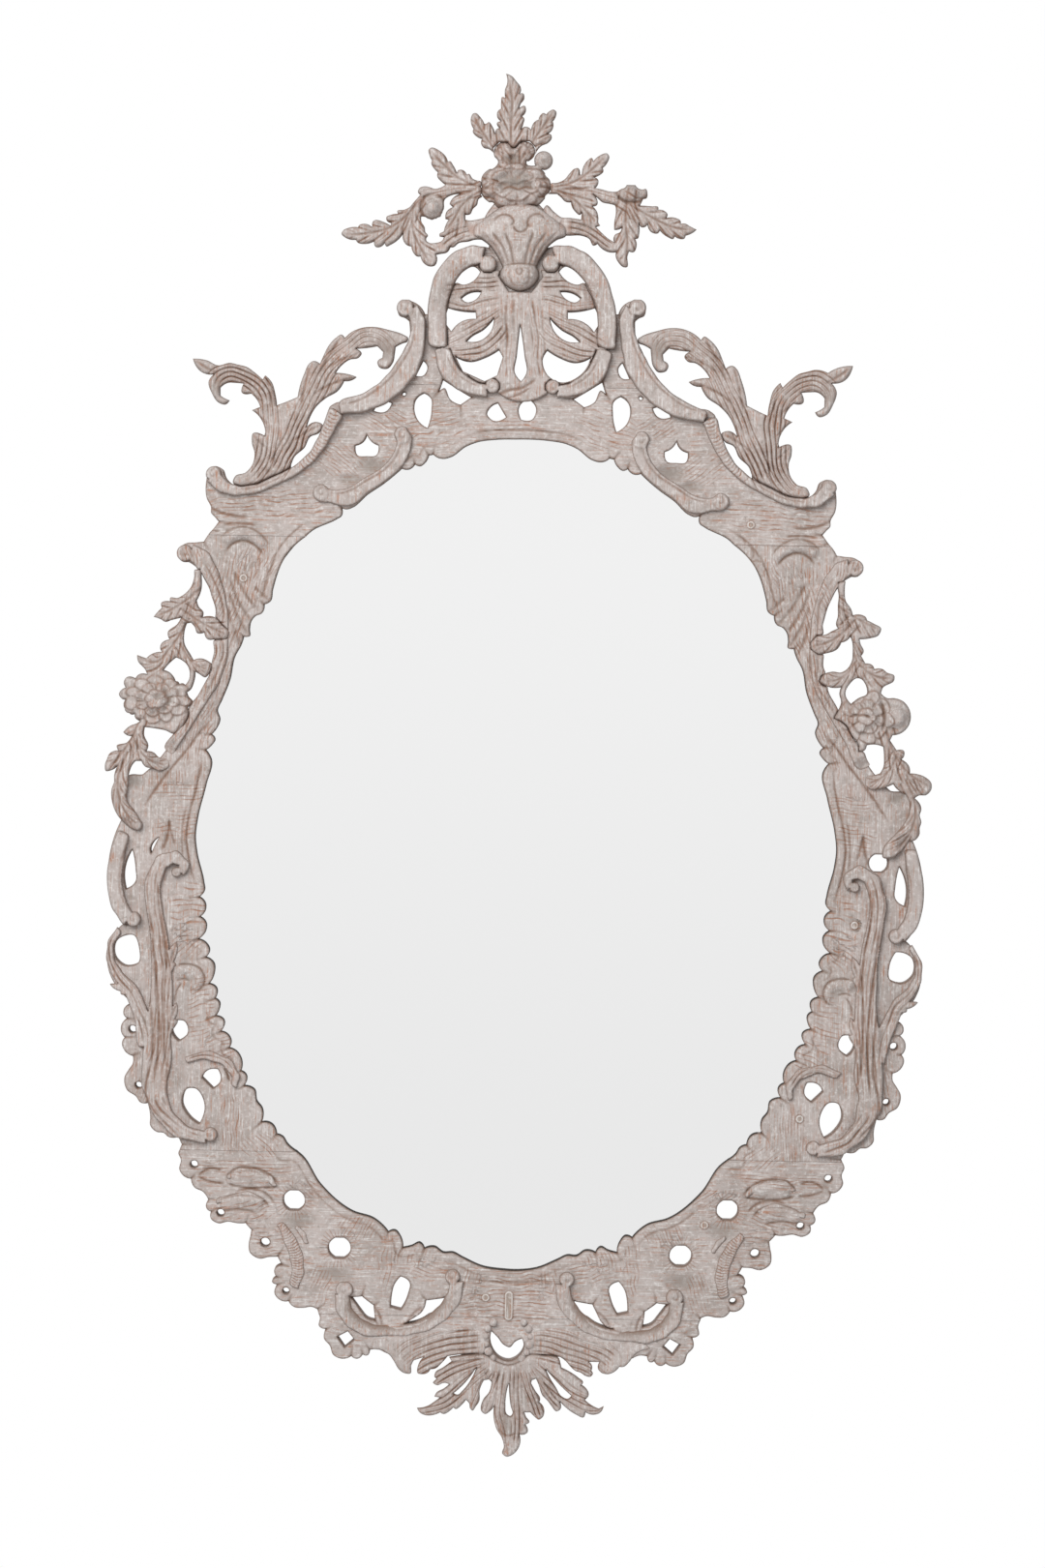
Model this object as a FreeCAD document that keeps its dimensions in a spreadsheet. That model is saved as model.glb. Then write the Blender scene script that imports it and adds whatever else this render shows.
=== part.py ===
"""Carved and pierced oval wall mirror, limed pine, about 1.0 m wide and 1.67 m high.

Six boards are dowelled edge to edge and sawn out round the plate. Carved members are glued to
their face, the glass lies in a rebate behind them, and two ring hangers carry the whole.
The part stands upright: +Z up, the carved face towards -Y, the wall at y = 0, and the origin
on the wall behind the middle of the plate.
"""
import FreeCAD, Part
import itertools
import math
import os
from FreeCAD import Vector, Rotation, Placement

doc = FreeCAD.newDocument("oval_mirror")
sheet = doc.addObject("Spreadsheet::Sheet", "dimensions")

# Driving dimensions in millimetres
DIMENSIONS = {
    "sight_width": 776,
    "sight_height": 1007,
    "plate_lap": 9,
    "plate_clearance": 2,
    "plate_thickness": 5,
    "plate_seat": 0.3,
    "rebate_depth": 12,
    "back_thickness": 9,
    "back_lap": 20,
    "board_thickness": 24,
    "board_gap": 0.3,
    "glue_line": 0.3,
    "crest_joint": 567,
    "upper_joint": 381,
    "lower_joint": -364,
    "apron_joint": -560,
    "dowel_diameter": 8,
    "dowel_length": 40,
    "crest_dowel_length": 24,
    "bore_clearance": 0.3,
    "scroll_height": 17,
    "leaf_height": 13,
    "rail_relief": 9,
    "vase_foot": 12,
    "vase_neck": 26,
    "vase_bowl": 36,
    "vase_flare": 27,
    "vase_waist": 21,
    "vase_bulb": 25,
    "vase_gap": 1.2,
    "petal_height": 12,
    "packer_length": 34,
    "packer_width": 12,
    "packer_count": 12,
    "screw_head": 7,
    "screw_shank": 3.4,
    "screw_length": 16,
    "nail_head": 6,
    "nail_shank": 3,
    "nail_length": 18,
    "nail_count": 14,
    "nail_edge": 6,
    "hanger_inset": 108,
    "hanger_gap": 2,
    "strap_width": 16,
    "strap_length": 36,
    "strap_thickness": 1.5,
    "knuckle_length": 14,
    "wire_diameter": 4,
    "ring_width": 28,
    "ring_corner": 4,
    "ring_clearance": 0.3,
    "plug_diameter": 10,
    "plug_depth": 5,
}
for row, (alias, value) in enumerate(DIMENSIONS.items(), start=1):
    sheet.set(f"A{row}", alias)
    sheet.set(f"B{row}", str(value))
    sheet.setAlias(f"B{row}", alias)
doc.recompute()


def dim(alias):
    """Value of one driving dimension."""
    return float(getattr(sheet, alias))


# The outlines below were taken off a frame that hung a little out of plumb.
DRAWN_TURN = math.radians(1.1)
DRAWN_AXIS = -3.5

# How the carver's right half departs from the left one turned over
AXIS_LEAN = 0.0146
CREST_FOOT = 620.0
CREST_LEAN = 0.05
HAND_DROP = 0.045
DROP_FADE_FROM = 540.0
DROP_FADE_TO = 660.0

BOARD_BACK = -dim("back_thickness")
BOARD_FACE = BOARD_BACK - dim("board_thickness")
FAR = 2000.0
SINK = 2.0
CHISEL_CUTS = 8
TWIST = 1e-6
OUT = Vector(0, -1, 0)


def upright(x, z):
    """Point of the drawing, brought upright and stretched to the plate that is fitted."""
    level = (x - DRAWN_AXIS) * math.cos(DRAWN_TURN) - z * math.sin(DRAWN_TURN)
    height = (x - DRAWN_AXIS) * math.sin(DRAWN_TURN) + z * math.cos(DRAWN_TURN)
    return Vector(level * STRETCH_X, 0, height * STRETCH_Z)


def left(x, z):
    """Point of the left half, as it was drawn."""
    return upright(x, z)


def right(x, z):
    """The same point on the right half: turned over, leaning and dropping with the carver's hand."""
    axis = DRAWN_AXIS + AXIS_LEAN * min(z, CREST_FOOT) - CREST_LEAN * max(0.0, z - CREST_FOOT)
    fade = min(1.0, max(0.0, (DROP_FADE_TO - z) / (DROP_FADE_TO - DROP_FADE_FROM)))
    return upright(2 * axis - x, z - HAND_DROP * abs(x) * fade)


def straight(points):
    """Straight edges from point to point."""
    return [Part.LineSegment(one, two).toShape() for one, two in zip(points, points[1:])]


def chain(side, start, runs):
    """Edges from the start through each run: a long run is one curve, a short one chisel cuts."""
    edges = []
    here = start
    for run in runs:
        points = [side(*point) for point in [here] + run]
        if len(points) > CHISEL_CUTS:
            curve = Part.BSplineCurve()
            curve.interpolate(points)
            edges.append(curve.toShape())
        else:
            edges += straight(points)
        here = run[-1]
    return edges


def both_halves(start, runs):
    """Closed wire of a left chain and the same chain on the right, joined at top and bottom."""
    end = runs[-1][-1]
    edges = chain(left, start, runs) + chain(right, start, runs)
    edges += straight([left(*start), right(*start)]) + straight([left(*end), right(*end)])
    return Part.Wire(Part.__sortEdges__(edges))


def closed(corners):
    """Closed wire of straight cuts round the corners."""
    return Part.makePolygon(corners + corners[:1])


def corners_of(side, points):
    """Corners at points of the drawing."""
    return [side(*point) for point in points]


def loop(side, points):
    """Closed wire through points of the drawing."""
    return closed(corners_of(side, points))


def grown(corners, gap):
    """Corners of an outline moved outward by a gap."""
    following = corners[1:] + corners[:1]
    area = sum(one.x * two.z - two.x * one.z for one, two in zip(corners, following))
    outward = math.copysign(1.0, area)
    edges = [(two - one).normalize() for one, two in zip(corners, following)]
    normals = [Vector(edge.z, 0, -edge.x) * outward for edge in edges]
    moved = []
    for index, corner in enumerate(corners):
        before, after = normals[index - 1], normals[index]
        moved.append(corner + (before + after) * (gap / max(0.5, 1 + before.dot(after))))
    return moved


def octagon(centre, radius, normal=OUT):
    """Corners of an eight-sided outline about a centre, facing along the normal."""
    turn = Rotation(Vector(0, 0, 1), normal)
    angles = [math.pi * (2 * index + 1) / 8 for index in range(8)]
    spokes = [Vector(radius * math.cos(angle), radius * math.sin(angle), 0) for angle in angles]
    return [centre + turn.multVec(spoke) for spoke in spokes]


def facets(corners):
    """Flat face on four corners, or two where they do not lie in one plane."""
    one, two, three, four = corners
    twist = (two - one).cross(three - one).dot(four - one)
    if abs(twist) < TWIST:
        return [Part.Face(closed(corners))]
    return [Part.Face(closed([one, two, three])), Part.Face(closed([one, three, four]))]


def faceted(sections, endless=False):
    """Solid with flat facets between outlines that follow one another; an endless one meets itself."""
    pairs = list(zip(sections, sections[1:]))
    if endless:
        pairs.append((sections[-1], sections[0]))
        faces = []
    else:
        faces = [Part.Face(closed(sections[0])), Part.Face(closed(sections[-1]))]
    for near, far in pairs:
        for index in range(len(near)):
            faces += facets([near[index - 1], near[index], far[index], far[index - 1]])
    return Part.Solid(Part.Shell(faces))


def prism(wires, near, far):
    """Solid between two depths over an area bounded by wires."""
    face = Part.makeFace(wires, "Part::FaceMakerBullseye")
    face.translate(Vector(0, near, 0))
    return face.extrude(Vector(0, far - near, 0))


class Stroke:
    """Carved member with sloping sides that follows a centre line.

    points are the centre line, widths the width at each point, height the rise at each point.
    """

    FOOT_SHARE = 0.525
    CROWN_SHARE = 0.27

    def __init__(self, side, points, widths, height):
        self.points = [side(*point) for point in points]
        self.widths = [width * GROWTH for width in widths]
        self.heights = height if isinstance(height, list) else [height] * len(points)
        curve = Part.BSplineCurve()
        curve.interpolate(self.points)
        self.sides = []
        for point in self.points:
            along = curve.tangent(curve.parameter(point))[0]
            self.sides.append(Vector(along.z, 0, -along.x).normalize())

    def section(self, point, side, width, height):
        """Section across the centre line, its foot sunk behind the glue face."""
        foot = side * (width * self.FOOT_SHARE)
        crown = side * (width * self.CROWN_SHARE)
        low = point - OUT * SINK
        high = point + OUT * height
        return [low + foot, high + crown, high - crown, low - foot]

    def solid(self):
        """Facets from section to section."""
        spots = zip(self.points, self.sides, self.widths, self.heights)
        return faceted([self.section(*spot) for spot in spots])

    def shadow(self, gap):
        """Upright block over the member's plan and a gap round it, to cut a neighbour with."""
        reach = [side * (width * self.FOOT_SHARE + gap) for side, width in zip(self.sides, self.widths)]
        port = [point + aside for point, aside in zip(self.points, reach)]
        starboard = [point - aside for point, aside in zip(self.points, reach)]
        for end, beyond in ((0, -gap), (-1, gap)):
            along = Vector(-self.sides[end].z, 0, self.sides[end].x)
            port[end] += along * beyond
            starboard[end] += along * beyond
        return prism([closed(port + starboard[::-1])], SINK * 2, -FAR / 10)


class Leaf(Stroke):
    """Leaf with a crowned face and notched lobes along both sides of its midrib."""

    TIP = 0.1
    EDGE = 0.45
    REACH = 0.62
    LOBE = [(0.0, 0.64), (0.42, 0.93), (0.95, 1.0)]

    def __init__(self, side, points, width, height, lobes):
        last = len(points) - 1
        shares = [self.spread(index / last) for index in range(last + 1)]
        super().__init__(side, points, [width * share for share in shares], height)
        self.lobes = lobes
        self.width = width * GROWTH
        self.curve = Part.BSplineCurve()
        self.curve.interpolate(self.points)

    def spread(self, share):
        """Width of the leaf along its length, as a share of its greatest width."""
        return max(self.TIP, math.sin(math.pi * (0.14 + 0.86 * share)) ** 0.8)

    def edge_point(self, share, reach):
        """Point beside the midrib, to the left of it for a positive reach."""
        first, last = self.curve.FirstParameter, self.curve.LastParameter
        spot = first + (last - first) * share
        along = self.curve.tangent(spot)[0]
        across = Vector(along.z, 0, -along.x).normalize()
        return self.curve.value(spot) + across * (reach * self.spread(share) * self.width / 2)

    def outline(self):
        """Wire round the leaf: a notch and a forward lobe in turn, and the tip."""
        step = 1.0 / self.lobes
        port = []
        starboard = []
        for lobe in range(self.lobes):
            for share, reach in self.LOBE:
                port.append(self.edge_point((lobe + share) * step, reach))
                starboard.append(self.edge_point((lobe + share) * step, -reach))
        return closed(port + self.points[-1:] + starboard[::-1])

    def section(self, point, side, width, height):
        """Ridged section that keeps a thick edge where the lobes are cut."""
        edge = side * (width * self.REACH)
        low = point - OUT * SINK
        shoulder = point + OUT * (height * self.EDGE)
        ridge = point + OUT * height
        return [low + edge, shoulder + edge, ridge, shoulder - edge, low - edge]

    def solid(self):
        """Ridged bar cut to the lobed outline."""
        return super().solid().common(prism([self.outline()], SINK, -FAR / 10))


class Slab:
    """Flat member sawn to an outline, with the openings that lie inside it."""

    def __init__(self, corners, height, openings=()):
        self.corners = corners
        self.height = height
        self.openings = list(openings)

    def solid(self):
        """Area inside the outline and round the openings, as thick as the member is high."""
        return prism([closed(self.corners)] + self.openings, SINK, -self.height)

    def shadow(self, gap):
        """Upright block over the outline and a gap round it, to cut a neighbour with."""
        return prism([closed(grown(self.corners, gap))], SINK * 2, -FAR / 10)


class Dome:
    """Round boss, such as the eye of a scroll, a petal or a fruit."""

    def __init__(self, side, point, radius, height):
        self.centre = side(*point)
        self.radius = radius * GROWTH
        self.height = height

    def solid(self):
        """Boss pared down in two rounds of eight cuts."""
        rounds = [(-SINK, 1.0), (self.height * 0.6, 0.8), (self.height, 0.4)]
        return faceted([octagon(self.centre + OUT * rise, self.radius * share) for rise, share in rounds])

    def shadow(self, gap):
        """Upright block over the boss and a gap round it."""
        return prism([closed(octagon(self.centre, self.radius + gap))], SINK * 2, -FAR / 10)


FRONT_SPACE = Part.makeBox(FAR, FAR / 10, FAR, Vector(-FAR / 2, -FAR / 10, -FAR / 2))
nodes = []


def keep(item, label):
    """Name a finished sub-part and put it on the list that is written out."""
    item.Label = label
    nodes.append(item)
    return item


def joined(members):
    """One shape of all the members."""
    solids = [member.solid() for member in members]
    if len(solids) == 1:
        return solids[0]
    return solids[0].multiFuse(solids[1:])


def carving(label, members, cut_by=()):
    """Applied carving: its members joined, cleared of its neighbours and planed flat behind."""
    shape = joined(members)
    cutters = [other.shadow(dim("glue_line")) for other in cut_by]
    if cutters:
        shape = shape.cut(cutters)
    item = doc.addObject("Part::Feature", label)
    item.Shape = shape.common(FRONT_SPACE).removeSplitter()
    item.setExpression(
        ".Placement.Base.y",
        "-dimensions.back_thickness - dimensions.board_thickness - dimensions.glue_line",
    )
    return keep(item, label)


# Outline of the sawn boards, left half, from the top of the crest to the foot of the apron
OUTER_START = (-20, 866)
OUTER_RUNS = [
    [(-20, 832)], [(-22, 800)], [(-42, 766)], [(-42, 748)], [(-35, 743)], [(-36, 734)],
    [(-50, 735.5), (-68, 731.5), (-85, 719), (-97, 704), (-104, 688), (-107, 673), (-108.5, 654)],
    [(-112.5, 654)],
    [(-121, 665.5), (-132, 670), (-141, 668), (-146, 661), (-144, 653), (-137, 650)],
    [(-132, 646), (-131, 636), (-131, 627)],
    [(-138, 612), (-145, 598), (-162, 572), (-179, 558), (-195, 549.5), (-222, 546.5), (-228, 542)],
    [(-229.5, 533), (-238, 505), (-247, 489), (-262, 474), (-275, 466.5)],
    [(-274, 482)], [(-262, 505)], [(-264, 530)], [(-290, 540)], [(-302, 520)], [(-312, 490)],
    [(-322, 466)], [(-338, 452)],
    [(-345, 449), (-353, 457), (-357, 467), (-366, 471), (-374, 467), (-376, 458), (-376, 441)],
    [(-376, 432), (-371, 421)],
    [(-371, 415), (-366, 409)],
    [(-362, 404), (-367, 397), (-374, 389), (-380, 380)],
    [(-390, 379), (-401, 378), (-410, 371), (-411, 362), (-405, 355.5), (-398, 355)],
    [(-389, 349), (-372, 324), (-363, 291), (-366, 261), (-371, 218), (-391, 187), (-424, 131), (-454, 99)],
    [(-470, 98)],
    [(-484, 90), (-489, 76), (-486, 60), (-479, 46)],
    [(-488, 26), (-496.5, -22), (-489.5, -64), (-478, -82)],
    [(-488.5, -93), (-497.5, -121), (-482, -150), (-466, -180)],
    [(-477, -184), (-478, -192), (-474, -197)],
    [(-480, -203), (-481, -213), (-477, -220)],
    [(-480, -226), (-477, -236), (-467, -243)],
    [(-467, -251), (-472, -259)],
    [(-477, -268), (-474, -284), (-463, -292)],
    [(-458, -299), (-449, -300)],
    [(-447, -308), (-446, -316)],
    [(-446, -327), (-438, -335), (-430, -336)],
    [(-424, -341), (-412, -341), (-408, -350)],
    [(-412, -360), (-409, -369)],
    [(-411, -380), (-405, -389), (-397, -392)],
    [(-393, -402), (-382, -408)],
    [(-376, -417), (-378, -428)],
    [(-373, -432), (-373, -440), (-364, -446), (-352, -444)],
    [(-340, -446), (-331, -446)],
    [(-324, -454), (-325, -461)],
    [(-327, -470), (-326, -481), (-314, -489), (-302, -487)],
    [(-292, -487), (-287, -496)],
    [(-296, -502), (-294, -511)],
    [(-299, -517), (-293, -521)],
    [(-296, -531), (-288, -540), (-279, -541)],
    [(-272, -548), (-262, -549)],
    [(-250, -548), (-244, -551)],
    [(-241, -560), (-242, -571)],
    [(-234, -575)],
    [(-236, -586), (-229, -595)],
    [(-225, -606), (-214, -611), (-203, -608)],
    [(-196, -611), (-189, -606)],
    [(-184, -607), (-180, -600)],
    [(-171, -599), (-160, -604)],
    [(-100, -602)], [(-60, -608)], [(-44, -630)], [(-22, -632)],
]

# Sight edge round the plate, left half, from the top to the foot
SIGHT_START = (0, 503.5)
SIGHT_RUNS = [
    [(-28, 503), (-50, 500), (-63, 495), (-82, 482)],
    [(-90, 480), (-97, 481)],
    [(-103, 485), (-108, 484)],
    [(-113, 475), (-119, 471), (-125, 473)],
    [(-133, 467), (-141, 468)],
    [(-164, 449), (-182, 437), (-201, 421)],
    [(-207, 419), (-213, 420)],
    [(-214, 411), (-220, 407)],
    [(-251, 392), (-279, 366), (-297, 322), (-300, 308)],
    [(-307, 304), (-311, 293)],
    [(-318, 290), (-323, 284)],
    [(-325, 274), (-325, 266)],
    [(-332, 265), (-335, 256)],
    [(-343, 241), (-349, 213), (-359, 188), (-364, 176)],
    [(-361, 165), (-366, 153), (-371, 147)],
    [(-367, 141), (-371, 134), (-378, 128)],
    [(-372, 118), (-378, 86), (-388, 47), (-391, 23), (-389, 3), (-381, -32)],
    [(-380, -42), (-386, -50)],
    [(-379, -58), (-379, -66), (-385, -74)],
    [(-378, -82), (-379, -92), (-387, -101)],
    [(-378, -106), (-374, -114), (-378, -123)],
    [(-369, -130), (-369, -145), (-374, -155)],
    [(-366, -160), (-367, -173)],
    [(-362, -178), (-363, -188), (-366, -194)],
    [(-357, -199), (-360, -213)],
    [(-352, -217), (-348, -225), (-350, -233)],
    [(-341, -238), (-335, -250), (-336, -261)],
    [(-330, -266), (-332, -279)],
    [(-320, -284), (-317, -298)],
    [(-311, -306), (-311, -323)],
    [(-300, -325), (-293, -338)],
    [(-286, -341), (-280, -350)],
    [(-263, -364), (-240, -399), (-201, -432), (-175, -441), (-158, -457)],
    [(-150, -455), (-143, -463), (-140, -476)],
    [(-130, -474), (-120, -470), (-114, -477)],
    [(-102, -475), (-91, -482)],
    [(-80, -482), (-68, -488)],
    [(-44, -499), (-19, -503)],
]

# How much the drawing is stretched so that its sight edge fits the plate
SIGHT_POINTS = [SIGHT_START] + [point for run in SIGHT_RUNS for point in run]
DRAWN_WIDTH = 2 * (DRAWN_AXIS - min(x for x, _ in SIGHT_POINTS))
DRAWN_HEIGHT = max(z for _, z in SIGHT_POINTS) - min(z for _, z in SIGHT_POINTS)
STRETCH_X = dim("sight_width") / DRAWN_WIDTH
STRETCH_Z = dim("sight_height") / DRAWN_HEIGHT
GROWTH = max(STRETCH_X, STRETCH_Z)

# Openings pierced through the shell of the crest, and then through the rest, left half
SHELL_LOOPS = [
    [(-77, 692), (-67, 706), (-54, 712), (-46, 705), (-57, 692), (-67, 689)],
    [(-69, 673), (-61, 679), (-45, 681), (-52, 671), (-63, 668)],
    [(-85, 662), (-74, 659), (-52, 657), (-51, 648), (-70, 644), (-81, 633), (-86, 640)],
    [(-63, 621), (-57, 627), (-42, 636), (-30, 649), (-33, 634), (-46, 622)],
    [(-76, 603), (-58, 597), (-40, 602), (-24, 611), (-19, 602), (-26, 580), (-41, 573), (-67, 585)],
]
SHELL_SLOT = [(2, 640), (-2, 605), (-4, 582), (3, 573), (9, 582), (7, 605)]
PAIRED_LOOPS = SHELL_LOOPS + [
    [(-124, 580), (-115, 598), (-110, 590), (-115, 580)],
    [(-124, 551), (-114, 559), (-106, 553), (-105, 539), (-110, 517), (-121, 526), (-126, 541)],
    [(-96, 561), (-91, 575), (-77, 566), (-57, 554), (-70, 545), (-82, 551), (-90, 565)],
    [(-183, 509), (-187, 501), (-197, 496), (-194, 484), (-183, 483), (-172, 484), (-169, 496), (-178, 501)],
    [(-175, 538), (-163, 549), (-153, 547), (-160, 537)],
    [(-467, 8), (-463, -16), (-463, -30), (-475, -40), (-477, -20)],
    [(-477, -97), (-466, -96), (-459, -112), (-460, -129), (-475, -133), (-488, -122), (-487, -104)],
    [(-419, -211), (-415, -200), (-405, -200), (-400, -212), (-411, -224)],
    [(-383, -269), (-376, -260), (-364, -259), (-361, -272), (-370, -282)],
    [(-407, -299), (-400, -282), (-392, -282), (-381, -298), (-387, -325), (-400, -314)],
    [(-150, -520), (-143, -511), (-133, -517), (-135, -535), (-143, -551), (-155, -548), (-154, -535)],
    [(-203, -536), (-190, -535), (-176, -546), (-174, -564), (-187, -558)],
    [(-90, -537), (-96, -550), (-119, -564), (-138, -568), (-121, -557), (-112, -540)],
    [(-220, -584), (-207, -577), (-199, -587), (-211, -597)],
]
PAIRED_HOLES = [
    ((-138, 558), 2.2),
    ((-467, -210), 4.5), ((-460, -278), 4.0),
    ((-393, -374), 4.5), ((-361, -433), 4.5), ((-307, -469), 5.5), ((-282, -528), 4.0),
    ((-272, -418), 13.0), ((-217, -476), 13.5),
]
SINGLE_LOOPS = [
    SHELL_SLOT,
    [(-38, 534), (-33, 543), (-25, 547), (-15, 530), (-31, 526)],
    [(2, 545), (12, 552), (21, 541), (16, 527), (3, 527)],
    [(-445, 8), (-441, 17), (-435, 22), (-442, 8), (-444, 3)],
    [(-33, -577), (-26, -584), (-18, -594), (-11, -597), (-4, -590), (4, -586), (6, -596),
     (-1, -608), (-12, -613), (-24, -609), (-33, -596)],
]
SINGLE_HOLES = [((435, -9), 11.5)]


def carcass_face():
    """Whole pierced area of the boards, before it is divided along the joints."""
    wires = [both_halves(OUTER_START, OUTER_RUNS), both_halves(SIGHT_START, SIGHT_RUNS)]
    for side in (left, right):
        wires += [loop(side, points) for points in PAIRED_LOOPS]
        wires += [closed(octagon(side(*point), radius)) for point, radius in PAIRED_HOLES]
    wires += [loop(left, points) for points in SINGLE_LOOPS]
    wires += [closed(octagon(left(*point), radius)) for point, radius in SINGLE_HOLES]
    return Part.makeFace(wires, "Part::FaceMakerBullseye")


def band(low, high, from_x=-FAR, to_x=FAR):
    """Rectangle between two heights, drawn in by half the joint gap."""
    half_gap = dim("board_gap") / 2
    low, high = low + half_gap, high - half_gap
    corners = [Vector(from_x, 0, low), Vector(to_x, 0, low), Vector(to_x, 0, high), Vector(from_x, 0, high)]
    return Part.Face(Part.makePolygon(corners + corners[:1]))


crest_joint = dim("crest_joint") * STRETCH_Z
upper_joint = dim("upper_joint") * STRETCH_Z
lower_joint = dim("lower_joint") * STRETCH_Z
apron_joint = dim("apron_joint") * STRETCH_Z
BANDS = {
    "crest_board": band(crest_joint, FAR),
    "top_rail": band(upper_joint, crest_joint),
    "left_stile": band(lower_joint, upper_joint, to_x=0),
    "right_stile": band(lower_joint, upper_joint, from_x=0),
    "bottom_rail": band(apron_joint, lower_joint),
    "apron_board": band(-FAR, apron_joint),
}


def oval(label, lap, near, depth):
    """Oval plate about the sight size: an ellipse drawn on the wall plane and extruded."""
    curve = doc.addObject("Part::Ellipse", label + "_curve")
    curve.setExpression("MajorRadius", f"dimensions.sight_height / 2 + {lap}")
    curve.setExpression("MinorRadius", f"dimensions.sight_width / 2 + {lap}")
    curve.Placement = Placement(Vector(), Rotation(Vector(0, 0, 1), Vector(1, 0, 0), Vector(0, 1, 0), "XYZ"))
    curve.setExpression(".Placement.Base.y", near)
    plate = doc.addObject("Part::Extrusion", label + "_blank")
    plate.Base = curve
    plate.DirMode = "Custom"
    plate.Dir = Vector(0, 1, 0)
    plate.setExpression("LengthFwd", depth)
    plate.Solid = True
    return plate


def oval_spots(count, lap, turn=0.5):
    """Even places round the plate, at a distance outside the sight size."""
    half_x = dim("sight_width") / 2 + lap
    half_z = dim("sight_height") / 2 + lap
    angles = [2 * math.pi * (index + turn) / count for index in range(int(count))]
    return [(half_x * math.sin(angle), half_z * math.cos(angle)) for angle in angles]


SQUARE = ((-1, -1), (1, -1), (1, 1), (-1, 1))


def screw(x, z, y, extra=0.0):
    """Countersunk wood screw driven towards the front, its head flush with the face at y."""
    head = dim("screw_head") / 2 + extra
    shank = dim("screw_shank") / 2 + extra
    sink = dim("screw_head") / 2 - dim("screw_shank") / 2
    stations = [(0, head), (sink, shank), (dim("screw_length") + extra, shank)]
    return faceted([octagon(Vector(x, y - depth, z), radius) for depth, radius in stations])


def nail(x, z, extra=0.0):
    """Cut nail driven through the back board, its square head flush with the wall face."""
    head = dim("nail_head") / 2 + extra
    shank = dim("nail_shank") / 2 + extra
    stations = [(0, head), (head - shank, shank), (dim("nail_length") + extra, shank / 2)]
    sections = []
    for depth, half in stations:
        sections.append([Vector(x + half * i, -depth, z + half * k) for i, k in SQUARE])
    return faceted(sections)


def dowel(x, z, length, extra=0.0):
    """Eight-sided peg across a joint between two boards, in the middle of their thickness."""
    middle = (BOARD_BACK + BOARD_FACE) / 2
    length = length + 2 * extra
    up = Vector(0, 0, 1)
    end = octagon(Vector(x, middle, z - length / 2), dim("dowel_diameter") / 2 + extra, up)
    return Part.Face(closed(end)).extrude(up * length)


# Places of the dowels along each joint, clear of the openings, as (joint, length, places across)
DOWEL_ROWS = [
    (crest_joint, dim("crest_dowel_length"), (-20, 14)),
    (upper_joint, dim("dowel_length"), (-350, -310, 310, 350)),
    (lower_joint, dim("dowel_length"), (-345, -300, 300, 345)),
    (apron_joint, dim("dowel_length"), (-48, 48)),
]
DOWELS = [(x * STRETCH_X, joint, length) for joint, length, places in DOWEL_ROWS for x in places]

# Round plugs and one long patch let into the face, as (x, z, length beyond round)
PLUGS = [
    (-332, 336, 0), (280, 400, 0), (225, -448, 0), (340, -319, 0), (406, -84, 0), (-40, -536, 0),
    (-12, -546, 26),
]


def plug(x, z, extra_length, extra=0.0):
    """Plug let into the face of a board, flush with it; a patch is a plug drawn out upwards."""
    radius = dim("plug_diameter") / 2 + extra
    low = upright(x, z - extra_length / 2) + Vector(0, BOARD_FACE, 0)
    high = upright(x, z + extra_length / 2) + Vector(0, BOARD_FACE, 0)
    depth = dim("plug_depth") + extra
    corners = [corner for corner in octagon(low, radius) if corner.z < low.z]
    corners += [corner for corner in octagon(high, radius) if corner.z > high.z]
    return Part.Face(closed(corners)).extrude(-OUT * depth)


def group(label, solids):
    """Identical small pieces kept together as one sub-part."""
    item = doc.addObject("Part::Feature", label)
    item.Shape = Part.makeCompound(solids)
    return keep(item, label)


def hanger_side(sign):
    """Across place of a hanger, inside the plate's widest place."""
    return sign * (dim("sight_width") / 2 - dim("hanger_inset"))


def hanger_foot():
    """Height of a strap's foot, whose inner corner stands clear of the oval back board."""
    half_x = dim("sight_width") / 2 + dim("back_lap")
    half_z = dim("sight_height") / 2 + dim("back_lap")
    inner = hanger_side(1) - dim("strap_width") / 2
    return half_z * math.sqrt(1 - (inner / half_x) ** 2) + dim("hanger_gap")


KNUCKLE = dim("wire_diameter") / 2 + dim("ring_clearance") + dim("strap_thickness")
RING_AXIS_Y = BOARD_BACK + KNUCKLE
RING_AXIS_Z = hanger_foot() + dim("strap_length") + KNUCKLE
STRAP_FACE = BOARD_BACK + dim("strap_thickness")
STRAP_HOLES = (0.22, 0.66)
RING_CUTS = 10


def hanger_screw_spots(sign):
    """Places of a strap's screws."""
    foot = hanger_foot()
    return [(hanger_side(sign), foot + share * dim("strap_length")) for share in STRAP_HOLES]


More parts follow.
